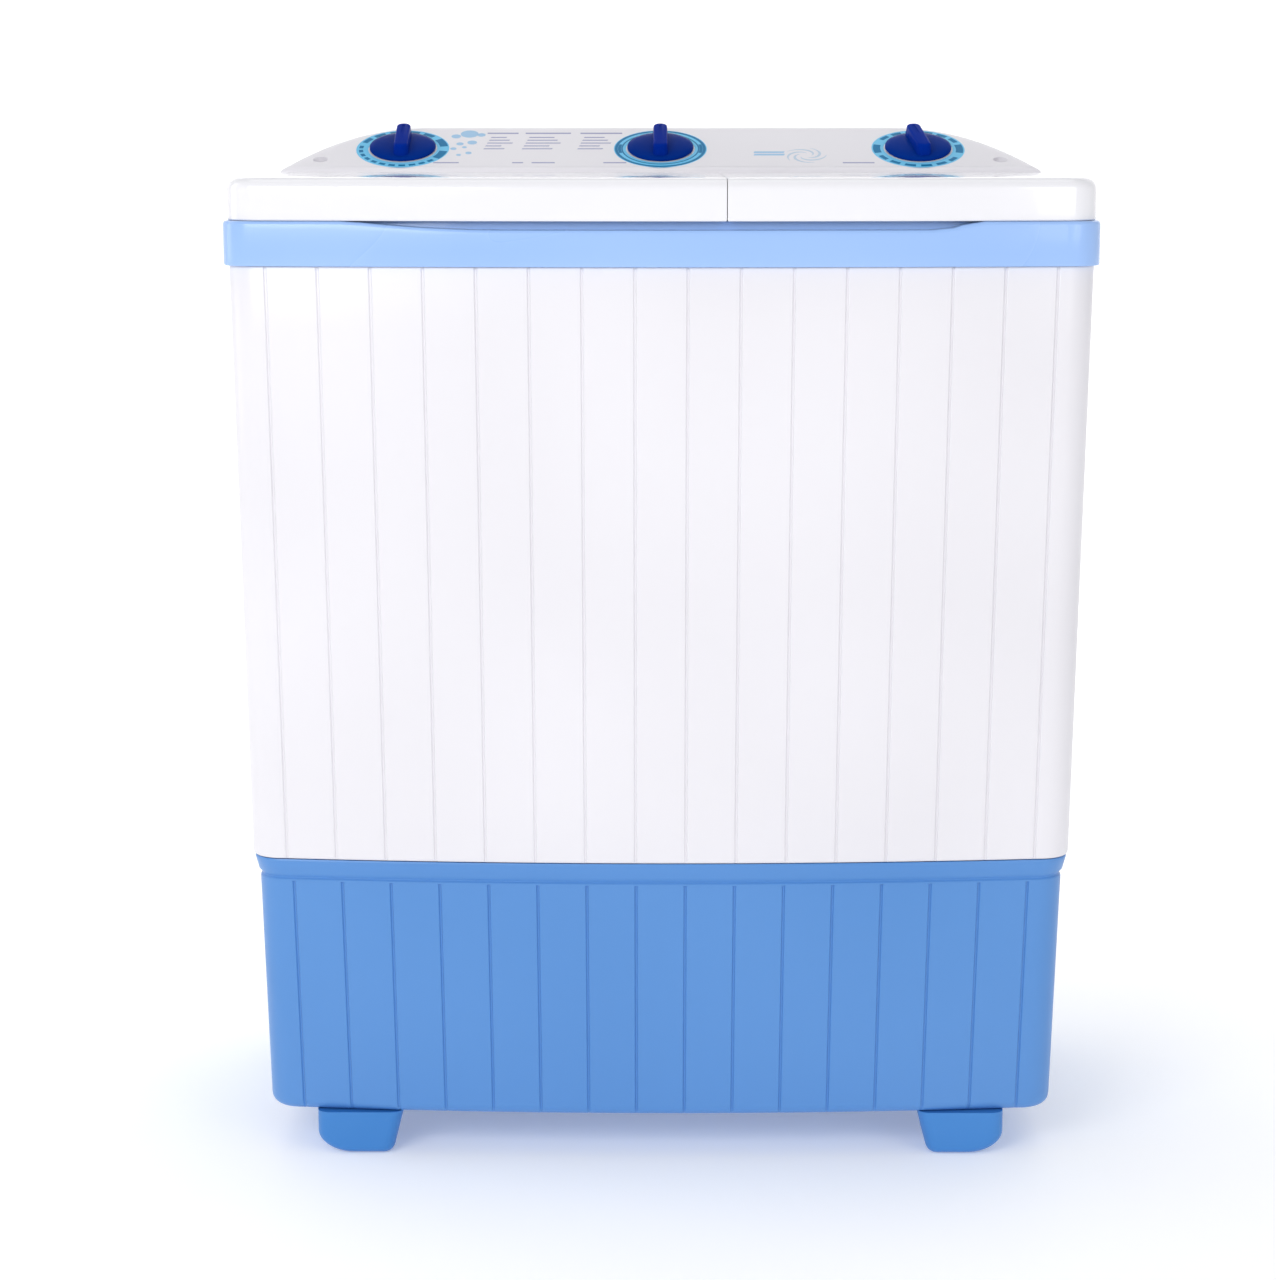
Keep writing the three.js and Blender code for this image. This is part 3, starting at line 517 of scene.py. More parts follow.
def cabinet():
    def ring(z, inset, grooves):
        size = between(CABINET_LOW, CABINET_HIGH, CABINET_LOW_SIZE, CABINET_HIGH_SIZE, z)
        return casing_ring(z, size, inset, grooves)
    low, high = CABINET_LOW, CABINET_HIGH
    rings = [ring(high, 5, 0), ring(high, 0.4, 1), ring(high - 0.8, 0, 1)]
    rings += [ring(high + (low - high) * i / 8, 0, 1) for i in range(1, 8)]
    rings += [ring(low + 2.6, 0, 1), ring(low + 1.2, 0.5, 0.8), ring(low + 0.3, 1.4, 0.4),
              ring(low, 2.6, 0), ring(low, 5, 0)]
    body = piece_from("cabinet_skin", *loft(rings, close=True), "root", "white", 28)
    panel_low, panel_high = box("rear_service_panel")
    inside, outside = 150, 230
    opening = block(panel_low[0] + SERVICE_EDGE, panel_high[0] - SERVICE_EDGE, inside, outside,
                    panel_low[2] + SERVICE_EDGE, panel_high[2] - SERVICE_EDGE)
    carve(body, [opening], 28)
    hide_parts("cabinet")


def base_size(z):
    if z >= LIP_LOW:
        return between(LIP_LOW, BASE_HIGH, BASE_LIP_SIZE, LIP_TOP_SIZE, z)
    return between(BASE_LOW, LIP_LOW, BASE_FOOT_SIZE, BASE_LIP_SIZE, z)


def base():
    def ring(z, inset=0.0, grooves=0.0):
        return casing_ring(z, base_size(z), inset, grooves)
    foot_radius, steps, wall = 9.0, 7, 6.0
    rings = [ring(BASE_LOW + 6, wall), ring(BASE_HIGH, wall), ring(BASE_HIGH, 1.0),
             ring(BASE_HIGH - 1.2, 0.2), ring(LIP_LOW + 4), ring(LIP_LOW + 1.6, 1.5),
             ring(LIP_LOW + 0.6, 1.9), ring(LIP_LOW, 1.6), ring(LIP_LOW - 1.2, 0.3),
             ring(LIP_LOW - 2.4), ring(LIP_LOW - 2.6, 0, 1)]
    rings += [ring(LIP_LOW - (LIP_LOW - BASE_LOW - foot_radius) * i / 4, 0, 1) for i in range(1, 4)]
    for i in range(steps + 1):
        a = math.pi / 2 * i / steps
        z = BASE_LOW + foot_radius * (1 - math.sin(a))
        rings.append(ring(z, foot_radius * (1 - math.cos(a)), math.cos(a)))
    rings.append(ring(BASE_LOW, foot_radius + 6))
    shell = loft(rings, cap_first=True, cap_last=True)
    body = piece_from("base_skin", *shell, "root", "base", 28)
    back_wall, through = 175, 40
    holes = []
    for node, radius in (("drain_spigot", SPIGOT_HOLE), ("cord_gland", GLAND_HOLE)):
        x, _, z = centre(node)
        holes.append(cylinder(x, back_wall, z, radius, through, "Y"))
    slot_front, slot_back, slot_low, slot_high = 128, 140, 30, 45
    holes += [block(x - AIR_SLOT_HALF, x + AIR_SLOT_HALF, slot_front, slot_back, slot_low, slot_high)
              for x in AIR_SLOT_X]
    carve(body, holes, 28)
    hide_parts("base")


def recess_at(x, y):
    """How far the band's top edge is let down for the fingers, from 0 to 1."""
    if y > -HALF_D / 2:
        return 0.0
    rise = min(1.0, max(0.0, (x - RECESS_LEFT) / RECESS_RISE))
    fall = min(1.0, max(0.0, (RECESS_RIGHT - x) / RECESS_FALL))
    t = min(rise ** 0.6, fall)
    return t * t * (3 - 2 * t)


def top_band():
    """The band, whose top edge dips and widens inward where the fingers go in."""
    wall, reach, back = 6.0, 12.0, 15.0

    def ring(inset, height, recess_inset=None, level=False):
        """One ring of the section; a level one doesn't dip with the recess."""
        points = []
        for x, y, nx, ny, _ in OUTLINE:
            in_recess = RECESS_LEFT - RECESS_MARGIN < x < RECESS_RIGHT + RECESS_MARGIN and y < -HALF_D / 2
            offset = recess_inset if in_recess and recess_inset is not None else inset
            z = height if level else height - RECESS_DEPTH * recess_at(x, y)
            points.append((x - nx * offset, y - ny * offset, BAND_LOW + z))
        return points
    tall = BAND_HIGH - BAND_LOW
    rings = [ring(wall, 0, level=True), ring(1.2, 0, level=True), ring(0.35, 0.4, level=True),
             ring(0, 1.4, level=True), ring(0, tall * 0.5, level=True), ring(0, tall - 3.2),
             ring(0.25, tall - 1.8), ring(1.0, tall - 0.6), ring(2.4, tall),
             ring(wall - 1.5, tall, reach), ring(wall - 1.0, tall, reach + 0.4, level=True),
             ring(wall, tall, back, level=True), ring(wall, tall - 12, back, level=True),
             ring(wall, tall - 12.5, level=True)]
    # The band's colour carries a painted highlight: its blue is lightened by an even sheen of white.
    body = piece_from("top_band_skin", *loft(rings, close=True), "root", "band", 32)
    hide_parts("top_band")


# ---------- lids ----------

LID_ROUND = 9.0
SEAM_ROUND = 1.4
LID_CORNER = 28.0
LID_WALL = 4.0
LID_EASE = [0, 0.5, 1.5, 3, 5, 7, 9, 12]
UNDERCUT_START, UNDERCUT_RISE, UNDERCUT_RUN = 8, 9, 17
LUG_HALF = 5.3
LUG_INSET = 45.0
KNUCKLE_RADIUS, KNUCKLE_LENGTH = 6.5, 12


def lid_plan(left, right, outer):
    """Plan points of a lid with the side that each faces, starting at its seam, and its front line."""
    seam = right if outer < 0 else left
    side = left if outer < 0 else right
    ease_end = LID_EASE[-1]

    def front(x):
        return LID_FRONT + BOW * (x / HALF_W) ** 2
    corner_x = side - outer * LID_CORNER
    steps = 18
    plan = []
    for i in range(steps + 1):
        x = seam + (corner_x - seam) * i / steps
        plan.append((x, front(x), 0, -1))
    corner_y = front(corner_x) + LID_CORNER
    for i in range(1, 13):
        a = math.pi / 2 * i / 12
        plan.append((corner_x + outer * LID_CORNER * math.sin(a), corner_y - LID_CORNER * math.cos(a),
                     outer * math.sin(a), -math.cos(a)))
    side_ys = [corner_y + (LID_REAR - ease_end - corner_y) * i / 8 for i in range(1, 9)]
    side_ys += [LID_REAR - e for e in LID_EASE[::-1][1:-1]]
    plan += [(side, y, outer, 0) for y in side_ys]
    plan.append((side, LID_REAR, outer, 1))
    plan += [(side + (seam - side) * i / 12, LID_REAR, 0, 1) for i in range(1, 12)]
    plan.append((seam, LID_REAR, -outer, 1))
    near = front(seam)
    seam_ys = [LID_REAR - e for e in LID_EASE[1:]]
    seam_ys += [LID_REAR - ease_end + (near + ease_end - LID_REAR + ease_end) * i / 8 for i in range(1, 9)]
    seam_ys += [near + e for e in LID_EASE[::-1][1:-1]]
    plan += [(seam, y, -outer, 0) for y in seam_ys]
    plan[0] = (seam, near, -outer, -1)
    return plan, front


def edge_height(from_edge):
    """Height of the lid's top at a distance from its nearest rolled edge."""
    return LID_TOP - LID_ROUND + math.sqrt(max(0, LID_ROUND ** 2 - (LID_ROUND - from_edge) ** 2))


def lid_ring(plan, front, outer, lean, height=None, extra=0.0):
    """One ring of the rolled edge: lean 0 is the upright wall, pi/2 the top."""
    points = []
    for x, y, nx, ny in plan:
        on_seam = nx == -outer
        radius_x = SEAM_ROUND if on_seam else LID_ROUND
        reach = LID_ROUND * (1 - math.cos(lean)) + extra
        px = x - nx * (radius_x * (1 - math.cos(lean)) + extra)
        py = y - ny * reach
        py = min(max(py, front(x) + reach), LID_REAR - reach)
        if height is None:
            radius = SEAM_ROUND if on_seam and ny == 0 else LID_ROUND
            rolled = LID_TOP - radius + radius * math.sin(lean)
            z = min(rolled, edge_height(min(py - front(px), LID_REAR - py, LID_ROUND)))
        else:
            z = height + max(0, py - HINGE_Y + UNDERCUT_START) * UNDERCUT_RISE / UNDERCUT_RUN
        points.append((px, py, z))
    return points


def lid(name, left, right, outer):
    plan, front = lid_plan(left, right, outer)

    def ring(lean, height=None, extra=0.0):
        return lid_ring(plan, front, outer, lean, height, extra)
    middle = Vector(((left + right) / 2, (LID_REAR + LID_FRONT) / 2))
    under = ring(0, LID_LOW, LID_WALL)
    ceiling = [(x, y, LID_TOP - LID_WALL) for x, y, _ in under]
    rings = [ceiling, under, ring(0, LID_LOW, 0.6), ring(0, LID_LOW + 0.8)]
    rings += [ring(math.pi / 2 * i / 8) for i in range(9)]
    rim = rings[-1]
    for i in range(1, 8):
        t = i / 8
        crown = math.sin(math.pi / 2 * t)
        rings.append([(x + (middle.x - x) * t, y + (middle.y - y) * t, z + crown) for x, y, z in rim])
    body = piece_from(f"{name}_skin", *loft(rings, cap_first=True, cap_last=True), name, "lid", 30)
    lugs = [left + LUG_INSET, right - LUG_INSET]
    cut_front, cut_back, cut_low, cut_high = HINGE_Y - 10, 60, 700, 775
    carve(body, [block(x - LUG_HALF, x + LUG_HALF, cut_front, cut_back, cut_low, cut_high)
                 for x in lugs], 30)
    knuckles = [cylinder(x + side * (LUG_HALF + KNUCKLE_LENGTH / 2), HINGE_Y, HINGE_Z,
                         KNUCKLE_RADIUS, KNUCKLE_LENGTH, "X") for x in lugs for side in (-1, 1)]
    piece_from(f"{name}_knuckles", *merged(*knuckles), name, "lid", 30)
    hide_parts(name)


# ---------- console ----------

CONSOLE_FLAT = 190.0
CONSOLE_DROP = 36.0
CONSOLE_FALL = 2.3
POCKET_X, POCKET_Y = 281, 70
POCKET_RADIUS, POCKET_LENGTH, POCKET_LIFT = 5.5, 14, 1.5
POCKET_LEAN = 0.45


def soft_min(a, b, blend):
    """The lower of two heights, blended where they meet."""
    return -blend * math.log(math.exp(-(a - b) / blend) + 1) + b if a < b + 40 * blend else b


def console_height(x, y):
    knob = KNOB_AT["selector"]
    slope = knob.z + (y - knob.y) * math.tan(FASCIA_TILT)
    along = max(0.0, (abs(x) - CONSOLE_FLAT) / (CONSOLE_HALF - CONSOLE_FLAT))
    end = CONSOLE_TOP - CONSOLE_DROP * along ** CONSOLE_FALL
    z = soft_min(slope, end, 1.2)
    edges = ((CONSOLE_HALF - abs(x), 4.0), (y - CONSOLE_FRONT, 2.5), (CONSOLE_BACK - y, 7.0))
    for distance, radius in edges:
        if distance < radius:
            z -= radius - math.sqrt(radius ** 2 - (radius - distance) ** 2)
    return z


def console_grid():
    """Columns and rows of the console's top, closer together at its rounded edges."""
    ease = [0, 0.15, 0.5, 1.0, 1.8, 2.8, 4.0, 7.0]
    wide_steps = [CONSOLE_HALF - CONSOLE_FLAT + 40, 230, 260, 290]
    inward = ease + [7 + i * 5.5 for i in range(1, 29)] + wide_steps
    xs = sorted({round(-CONSOLE_HALF + d, 3) for d in inward} | {round(CONSOLE_HALF - d, 3) for d in inward})
    depth = round(CONSOLE_BACK - CONSOLE_FRONT)
    rows = [0, 0.15, 0.5, 1.0, 1.8, 2.5] + [2.5 + i * 3.4 for i in range(1, 40)]
    rows += [depth - r for r in (7, 5, 3.4, 2, 1, 0.4, 0.1, 0)]
    ys = sorted({round(CONSOLE_FRONT + r, 3) for r in rows if CONSOLE_FRONT + r <= CONSOLE_BACK})
    return xs, ys


def console_pocket(side):
    """The cutter for the small screw pocket near one end of the console."""
    x, y = side * POCKET_X, POCKET_Y
    verts, faces = cylinder(0, 0, 0, POCKET_RADIUS, POCKET_LENGTH, "Z", 40)
    lean = Matrix.Rotation(side * POCKET_LEAN, 4, "Y") @ Matrix.Rotation(FASCIA_TILT, 4, "X")
    where = Matrix.Translation((x, y, console_height(x, y) + POCKET_LIFT)) @ lean
    return placed(verts, where), faces


def console():
    xs, ys = console_grid()
    verts = [(x, y, console_height(x, y)) for y in ys for x in xs]
    wide, deep = len(xs), len(ys)
    faces = [(j * wide + i, j * wide + i + 1, (j + 1) * wide + i + 1, (j + 1) * wide + i)
             for j in range(deep - 1) for i in range(wide - 1)]
    edge = list(range(wide)) + [j * wide + wide - 1 for j in range(1, deep)]
    edge += [(deep - 1) * wide + i for i in range(wide - 2, -1, -1)]
    edge += [j * wide for j in range(deep - 2, 0, -1)]
    start = len(verts)
    verts += [(verts[i][0], verts[i][1], CONSOLE_LOW) for i in edge]
    count = len(edge)
    faces += [(edge[k], edge[(k + 1) % count], start + (k + 1) % count, start + k) for k in range(count)]
    faces.append(tuple(range(start, start + count)))
    body = piece_from("console_skin", verts, faces, "root", "white", 30)
    carve(body, [console_pocket(side) for side in (-1, 1)], 30)
    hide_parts("control_console")


cabinet()
base()
top_band()
lid("wash_lid", LID_LEFT, SEAM_LEFT, -1)
lid("spin_lid", SEAM_RIGHT, LID_RIGHT, 1)
console()


# ---------- feet ----------


def foot(name):
    """A foot with a rounded toe outward, a small heel inward and sides that pull in."""
    low, high = box(name)
    x, y, _ = centre(name)
    half, tall = (high[0] - low[0]) / 2, high[2]
    outer = 1 if x > 0 else -1
    toe, bend, heel, heel_in = 28.0, 18.0, 8.0, 7
    side = [(half, tall)]
    for i in range(15):
        a = math.pi / 2 * i / 14
        side.append((half - toe + toe * math.cos(a), bend - bend * math.sin(a)))
    for i in range(8):
        a = math.pi / 2 * i / 7
        side.append((heel - half + heel_in - heel * math.sin(a), heel - heel * math.cos(a)))
    side.append((-half, tall))
    edge, pull_in = 10.0, 0.6
    rows = []
    for i in range(8):
        a = math.pi / 2 * i / 7
        rows.append((-half + edge * (1 - math.cos(a)), edge * (1 - math.sin(a))))
    rows += [(-v, inset) for v, inset in rows[::-1]]
    rings = []
    for v, inset in rows:
        squeeze = 1 - inset / half
        rings.append([(x + outer * u * squeeze, y + v, tall - (tall - z) * (1 - pull_in * inset / tall))
                      for u, z in side])
    body = piece_from(f"{name}_shoe", *loft(rings, cap_first=True, cap_last=True), "root", "foot", 40)
    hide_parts(name)


# ---------- controls ----------

FASCIA_AT = KNOB_AT["selector"]
ON_FASCIA = Matrix.Translation(FASCIA_AT) @ Matrix.Rotation(FASCIA_TILT, 4, "X")
LABEL_LOW, LABEL_HIGH = 0.03, 0.16
INK_HIGH = 0.26
HALO_INNER, HALO_OUTER = 28.6, 38.6
HALO_HIGH = LABEL_HIGH + 0.04
KNOB_RADIUS = 27.5
SPIN_TIMER_REST = math.radians(9)


def fascia_piece(name, shapes, material):
    """A piece from shapes drawn flat, laid on the console's slope."""
    verts, faces = merged(*shapes)
    return piece_from(name, placed(verts, ON_FASCIA), faces, "root", material)


def slab(points, low, high):
    """A thin upright-sided plate on the fascia from its outline."""
    return loft([[(x, y, z) for x, y in points] for z in (low, high)], cap_first=True, cap_last=True)


def arc_block(x, inner, outer, start, end):
    """A printed stretch of a ring between two angles in degrees."""
    steps = max(2, round((end - start) / 4))
    angles = [math.radians(start + (end - start) * i / steps) for i in range(steps + 1)]
    points = [(x + outer * math.cos(a), outer * math.sin(a)) for a in angles]
    points += [(x + inner * math.cos(a), inner * math.sin(a)) for a in angles[::-1]]
    return slab(points, LABEL_HIGH, INK_HIGH)


def ring_print(x, inner, outer, high=INK_HIGH):
    section = [(inner, LABEL_HIGH), (outer, LABEL_HIGH), (outer, high), (inner, high)]
    return turned(section, x, 0, 96)


def bar(x, y, width, height, lean=0.0):
    corners = [(x, y), (x + width, y), (x + width + lean, y + height), (x + lean, y + height)]
    return slab(corners, LABEL_HIGH, INK_HIGH)


def disc(x, y, radius, sides=24):
    rim = [(px, py) for px, py, _ in circle(x, y, radius, 0, sides)]
    return slab(rim, LABEL_HIGH, INK_HIGH)


def label_sheet():
    """The printed sheet on the slope, its ends following the fall of the console."""
    low, high, margin, widest = -37.0, 42.0, 7.0, 272
    rows = [low + (high - low) * i / 24 for i in range(25)]

    def reach(v):
        drop = CONSOLE_TOP - FASCIA_AT.z - v * math.sin(FASCIA_TILT)
        spread_x = (CONSOLE_HALF - CONSOLE_FLAT) * max(0.0, drop / CONSOLE_DROP) ** (1 / CONSOLE_FALL)
        return min(CONSOLE_FLAT + spread_x - margin, widest)
    right = [(reach(v), v) for v in rows]
    outline_points = right + [(-x, v) for x, v in right[::-1]]
    sheet = fascia_piece("fascia_label", [slab(outline_points, LABEL_LOW, LABEL_HIGH)], "white")
    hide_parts("fascia_panel")


def dial_prints():
    """A pale halo round each knob, with its own darker marks: radii in mm, angles in degrees."""
    left, middle, right = (KNOB_AT[name].x for name in CONTROLS)
    fascia_piece("dial_halos", [ring_print(x, HALO_INNER, HALO_OUTER, HALO_HIGH)
                                for x in (left, middle, right)], "ink_halo")
    teal = [arc_block(left, 31, 37.6, -34, -8), arc_block(left, 31, 37.6, 8, 34)]
    teal += [arc_block(left, 32.5, 37, start, start + 17) for start in range(46, 160, 24)]
    teal += [arc_block(left, 33, 36.4, start, start + 9) for start in range(170, 318, 14)]
    teal += [ring_print(middle, 35.4, 37.8), ring_print(middle, 31.2, 32.4)]
    teal += [arc_block(middle, 32.6, 35.2, start, start + 30) for start in (-15, 165)]
    teal += [arc_block(right, 31.4, 37.4, start, start + 28) for start in (-14, 166)]
    teal += [arc_block(right, 32.8, 36.8, start, start + 15) for start in range(22, 150, 22)]
    teal += [arc_block(right, 32.8, 36.8, start, start + 15) for start in range(204, 336, 22)]
    fascia_piece("dial_marks", teal, "ink_teal")


def table_prints():
    """Three short columns of plain bars and a cluster of bubbles beside the wash timer."""
    bubbles = [(-160, 31, 7.5), (-171, 26, 4), (-150, 29, 3.5), (-157, 13, 4), (-167, 10, 3),
               (-172, 0, 2.6), (-163, 3, 2), (-159, -9, 2.6), (-167, -13, 2)]
    fascia_piece("bubbles", [disc(*bubble) for bubble in bubbles], "ink_blue")
    bars = []
    for start, width, short in ((-145, 26, 13), (-113, 38, 21), (-67, 35, 17)):
        bars.append(bar(start, 31.5, width, 2.2))
        bars += [bar(start + 3 - 1.3 * row, 23 - 6 * row, short + (row % 3) * 4, 1.6, 0.8)
                 for row in range(5)]
    captions = [(-187, 21), (-122, 9), (-106, 19), (-47, 19), (150, 26)]
    bars += [bar(start, -30, width, 1.8) for start, width in captions]
    fascia_piece("table_bars", bars, "ink_grey")


def swirl_prints():
    """Two bars and a swirl of five arms between the selector and the spin timer."""
    shapes = [bar(77, -9 - 5 * row, 25, 3.2, 1.0) for row in range(2)]
    fascia_piece("swirl_bars", shapes, "ink_blue")
    arms = []
    for arm in range(5):
        points = []
        for side in (0, 1):
            turn = [i / 14 for i in range(15)][:: 1 if side == 0 else -1]
            for t in turn:
                a = math.radians(72 * arm + 150 * t)
                width = 2.2 * math.sin(math.pi * min(1, t * 0.95 + 0.03)) * (1 if side == 0 else -1)
                radius = 4.5 + 11.5 * t + width / 2
                points.append((120 + radius * 1.1 * math.cos(a), -14 + radius * math.sin(a)))
        arms.append(slab(points, LABEL_HIGH, INK_HIGH - 0.04))
    fascia_piece("swirl", arms, "ink_swirl")


def grip_bar(half_w, half_l, levels):
    """The bar across a knob, its rounded outline drawn in a little more at each level."""
    rings = []
    for z, narrow, short in levels:
        wide, long = half_w - narrow, half_l - short
        corner = min(5.0, wide - 0.4)
        ring = []
        for cx, cy, start in ((1, 1, 0), (-1, 1, 90), (-1, -1, 180), (1, -1, 270)):
            for i in range(9):
                a = math.radians(start + 90 * i / 8)
                ring.append((cx * (wide - corner) + corner * math.cos(a),
                             cy * (long - corner) + corner * math.sin(a), z))
        rings.append(ring)
    return loft(rings, cap_first=True, cap_last=True)


def knob(name):
    turn = SPIN_TIMER_REST if name == "spin_timer" else 0.0
    place = Matrix.Translation(KNOB_AT[name]) @ Matrix.Rotation(FASCIA_TILT, 4, "X")
    place = place @ Matrix.Rotation(turn, 4, "Z")
    flange = [(3.3, 0.6), (KNOB_RADIUS - 0.5, 0.6), (KNOB_RADIUS, 1.2), (KNOB_RADIUS, 2.4),
              (KNOB_RADIUS - 0.4, 3.1), (KNOB_RADIUS - 1.4, 3.7), (23, 4.4), (18, 5.0), (10, 5.6),
              (3.3, 5.8)]
    verts, faces = turned(flange, 0, 0, 96)
    skirt = piece_from(f"{name}_dial", placed(verts, place), faces, f"{name}_knob", "knob", 40)
    half_w, half_l, top = 6.5, 24.0, 13.5
    levels = [(4.0, 0.0, 0.0), (5.4, 0.15, 0.0), (9, 0.5, 0.2), (12.0, 0.75, 0.5), (12.8, 1.0, 0.8),
              (13.3, 1.6, 1.4), (top, 2.5, 2.3)]
    verts, faces = grip_bar(half_w, half_l, levels)
    grip = piece_from(f"{name}_grip", placed(verts, place), faces, f"{name}_knob", "knob_bar", 32)
    half, near, far = 1.1, 4, half_l - 6
    pointer = [(-half, near), (half, near), (half, far), (0, far + 2), (-half, far)]
    verts, faces = slab(pointer, top - 0.5, top + 1)
    carve(grip, [(placed(verts, place), faces)], 32)
    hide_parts(f"{name}_knob")


for spot in ("front_left", "front_right", "rear_left", "rear_right"):
    foot(f"foot_{spot}")
label_sheet()
dial_prints()
table_prints()
swirl_prints()
for control in CONTROLS:
    knob(control)


# ---------- pieces under the lids ----------


def rounded_rect(x0, x1, y0, y1, radius, z, steps=10):
    ring = []
    corners = ((x1 - radius, y0 + radius, -90), (x1 - radius, y1 - radius, 0),
               (x0 + radius, y1 - radius, 90), (x0 + radius, y0 + radius, 180))
    for cx, cy, start in corners:
        for i in range(steps + 1):
            a = math.radians(start + 90 * i / steps)
            ring.append((cx + radius * math.cos(a), cy + radius * math.sin(a), z))
    return ring


def wash_tub():
    low, high = box("wash_tub")
    wall, floor, corner, sweep = 3.0, 4.0, 40.0, 16.0
    rings = []

    def ring(inset, z):
        rings.append(rounded_rect(low[0] + inset, high[0] - inset, low[1] + inset, high[1] - inset,
                                  corner, z))
    for i in range(7):
        a = math.pi / 2 * i / 6
        ring(sweep * (1 - math.sin(a)), low[2] + sweep * (1 - math.cos(a)))
    ring(0, high[2] - 0.8)
    ring(0.8, high[2])
    ring(wall - 0.8, high[2])
    ring(wall, high[2] - 0.8)
    for i in range(7):
        a = math.pi / 2 * i / 6
        ring(wall + sweep * (1 - math.cos(a)), low[2] + floor + sweep * (1 - math.sin(a)))
    verts, faces = loft(rings, cap_first=True, cap_last=True)
    body = piece_from("wash_tub_shell", verts, faces, "root", "tub", 40)
    shaft = Vector(JOINTS["pulsator_spin"]["pos_m"]) / MM
    drain_x, drain_y, _ = centre("drain_plunger")
    shaft_hole, drain_hole, through = 9, 17, 40
    carve(body, [cylinder(shaft.x, shaft.y, low[2], shaft_hole, through),
                 cylinder(drain_x, drain_y, low[2], drain_hole, through)], 40)
    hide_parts("wash_tub")


def pulsator():
    """A dished wheel with four tapering fins and three small holes between each pair of them."""
    low, high = box("pulsator")
    x, y, _ = centre("pulsator")
    edge, z = (high[0] - low[0]) / 2, low[2]
    profile = rounded([(8.3, z), (edge - 6, z), (edge, z + 5), (edge - 8, z + 9), (60, z + 7.4),
                       (40, z + 9), (30, z + 22), (8.3, z + 24)], 3.0)
    shapes = [turned(profile, x, y, 96)]
    fin_start = 22
    for arm in range(4):
        turn = Matrix.Translation((x, y, 0)) @ Matrix.Rotation(math.pi / 2 * arm, 4, "Z")
        rings = []
        for i in range(17):
            t = i / 16
            along = fin_start + (edge - 14 - fin_start) * t
            crest = z + 8 + 9.6 * math.sin(math.pi * min(1, 0.55 + 0.45 * t)) ** 0.8
            half = 7.5 - 2.2 * t
            ring = []
            for k in range(13):
                a = math.pi * k / 12
                ring.append((along, half * math.cos(a), z + 5 + (crest - z - 5) * math.sin(a)))
            rings.append(placed(ring, turn))
        shapes.append(loft(rings, cap_first=True, cap_last=True))
    verts, faces = merged(*shapes)
    body = piece_from("pulsator_wheel", verts, faces, "pulsator", "knob", 45)
    holes = []
    hole_at, hole_radius, through = 62, 3.2, 60
    for degrees in (45 + 90 * quarter + step for quarter in range(4) for step in (-16, 0, 16)):
        a = math.radians(degrees)
        holes.append(cylinder(x + hole_at * math.cos(a), y + hole_at * math.sin(a), z,
                              hole_radius, through))
    carve(body, [merged(*holes)], 45)
    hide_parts("pulsator")


def perforated_basket():
    """The basket as a grid bent round its axis, with its water holes left out, then given thickness."""
    low, high = box("spin_basket")
    x, y, _ = centre("spin_basket")
    outer, bottom, top = (high[0] - low[0]) / 2, low[2], high[2]
    sides, rows = 96, 46
    mid = outer - 1.1
    heights = [bottom + 12 + (top - 4 - bottom - 12) * j / rows for j in range(rows + 1)]
    profile = [(20, bottom + 2), (60, bottom + 2), (mid - 12, bottom + 2), (mid - 3.5, bottom + 5)]
    first = len(profile)
    profile += [(mid, z) for z in heights] + [(mid, top - 1.2), (mid - 4, top - 0.9)]
    verts = [point for r, z in profile for point in circle(x, y, r, z, sides)]
    faces = []
    for j in range(len(profile) - 1):
        row = j - first
        for i in range(sides):
            hole = 2 <= row < rows - 3 and row % 4 == 2 and (i + 2 * (row // 4 % 2)) % 4 == 0
            if not hole:
                k = (i + 1) % sides
                faces.append((j * sides + i, j * sides + k, (j + 1) * sides + k, (j + 1) * sides + i))
    body = piece_from("basket_drum", verts, faces, "spin_basket", "steel", 60)
    thick = body.modifiers.new("thick", "SOLIDIFY")
    thick.thickness = 0.0016
    thick.offset = 0
    soft = body.modifiers.new("soft", "SUBSURF")
    soft.levels = 1
    apply_modifiers(body)
    finish_piece(body, "spin_basket", "steel", 50)
    hub = rounded([(8, bottom), (24, bottom), (24, bottom + 5), (18, bottom + 6), (14, bottom + 16),
                   (8, bottom + 16)], 1.5)
    piece_from("basket_hub", *turned(hub, x, y, 48), "spin_basket", "tub", 40)
    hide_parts("spin_basket")


def lint_filter():
    """A rounded frame with a net of thin wires across its window."""
    low, high = box("lint_filter")
    x, _, z = centre("lint_filter")
    frame_w, wire = 9.0, 0.5
    wide, tall = high[0] - low[0] - 2 * frame_w, high[2] - low[2] - 2 * frame_w
    body = piece_from("lint_filter_frame", *block(low[0], high[0], low[1], high[1], low[2], high[2]),
                      "lint_filter", "foot", 40)
    window = block(low[0] + frame_w, high[0] - frame_w, low[1] - 1, low[1] + 14,
                   low[2] + frame_w, high[2] - frame_w)
    carve(body, [window], 40)
    soften(body, 1.8)
    net_y = low[1] + 5
    net = [cylinder(low[0] + frame_w + wide * i / 20, net_y, z, wire, tall, "Z", 6) for i in range(1, 20)]
    net += [cylinder(x, net_y, low[2] + frame_w + tall * i / 40, wire, wide, "X", 6) for i in range(1, 40)]
    piece_from("lint_filter_net", *merged(*net), "lint_filter", "tub", 40)
    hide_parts("lint_filter")


def soften(piece, width, segments=3):
    """Rounds the hard edges of a piece."""
    edges = piece.modifiers.new("edges", "BEVEL")
    edges.width = width * MM
    edges.segments = segments
    edges.limit_method = "ANGLE"
    edges.angle_limit = math.radians(45)
    edges.harden_normals = True
    apply_modifiers(piece)


# ---------- every other piece: its frame solid with rounded edges ----------


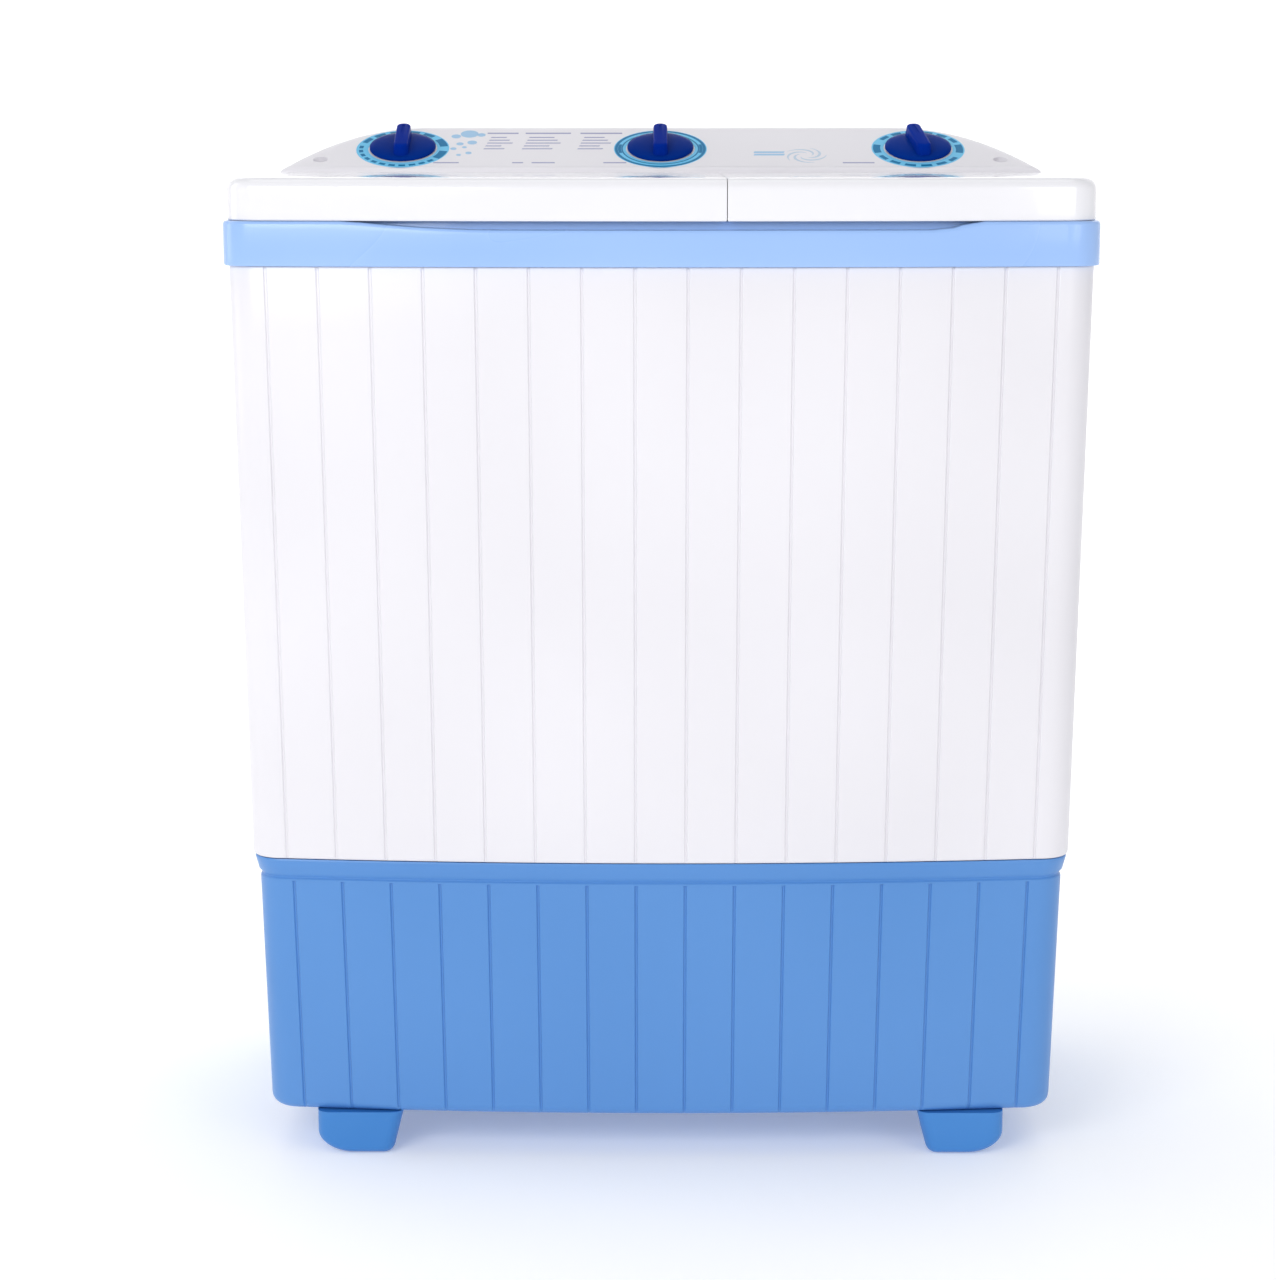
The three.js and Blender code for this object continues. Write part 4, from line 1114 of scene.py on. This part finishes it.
def refined(node, body, material, width=0.6, subdivide=False):
    """A copy of a frame solid with its flat faces joined, then its edges rounded or all of it smoothed."""
    source = bpy.data.objects[node]
    verts = [tuple((source.matrix_world @ v.co) / MM) for v in source.data.vertices]
    faces = [tuple(polygon.vertices) for polygon in source.data.polygons]
    piece = piece_from(f"{node}_finished", verts, faces, body, material, 40)
    flat = bmesh.new()
    flat.from_mesh(piece.data)
    bmesh.ops.dissolve_limit(flat, angle_limit=math.radians(2), verts=flat.verts, edges=flat.edges)
    flat.to_mesh(piece.data)
    flat.free()
    if subdivide:
        smooth = piece.modifiers.new("smooth", "SUBSURF")
        smooth.levels = 2
        apply_modifiers(piece)
        shade(piece, 60)
    else:
        soften(piece, width, 2)
    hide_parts(node)


INNER = [
    ("top_deck", "root", "white", 0.7), ("rear_service_panel", "root", "white", 0.8),
    ("wash_lid_hinge_rod", "root", "steel", 0.4), ("spin_lid_hinge_rod", "root", "steel", 0.4),
    ("pulsator_screw", "pulsator", "steel", 0.5), ("pulsator_shaft", "pulsator", "steel", 0.8),
    ("wash_pulley", "pulsator", "grey", 0.8), ("wash_gearbox", "root", "zinc", 1.5),
    ("drive_belt", "root", "rubber", 0.5), ("motor_pulley", "wash_motor_rotor", "grey", 0.6),
    ("wash_motor_shaft", "wash_motor_rotor", "steel", 0.6), ("wash_motor", "root", "motor", 2.0),
    ("wash_motor_bracket", "root", "zinc", 0.5), ("spin_tub", "root", "tub", 0.8),
    ("spin_press_plate", "spin_press_plate", "foot", 0.8), ("spin_shaft", "spin_basket", "steel", 0.8),
    ("spin_bearing", "root", "zinc", 0.8), ("brake_drum", "spin_basket", "zinc", 0.8),
    ("brake_lever", "brake_lever", "zinc", 0.6), ("brake_post", "root", "steel", 0.4),
    ("spin_motor", "root", "motor", 1.6), ("drain_valve_body", "root", "grey", 0.8),
    ("drain_plunger", "drain_plunger", "grey", 0.5), ("drain_spigot", "root", "grey", 0.6),
    ("cord_gland", "root", "rubber", 0.6), ("motor_capacitor", "root", "motor", 1.5),
]

wash_tub()
pulsator()
perforated_basket()
lint_filter()
for node, body, material, width in INNER:
    refined(node, body, material, width)
for number in range(1, 5):
    refined(f"panel_screw_{number}", "root", "zinc", 0.6)
for control in CONTROLS:
    refined(f"{control}_body", "root", "grey", 0.8)
    refined(f"{control}_spindle", f"{control}_knob", "steel", 0.4)
for node in ("motor_spring_1", "motor_spring_2", "motor_spring_3"):
    refined(node, "root", "steel", subdivide=True)
for node in ("drain_hose", "brake_cable", "bellows_seal"):
    refined(node, "root", "rubber", subdivide=True)
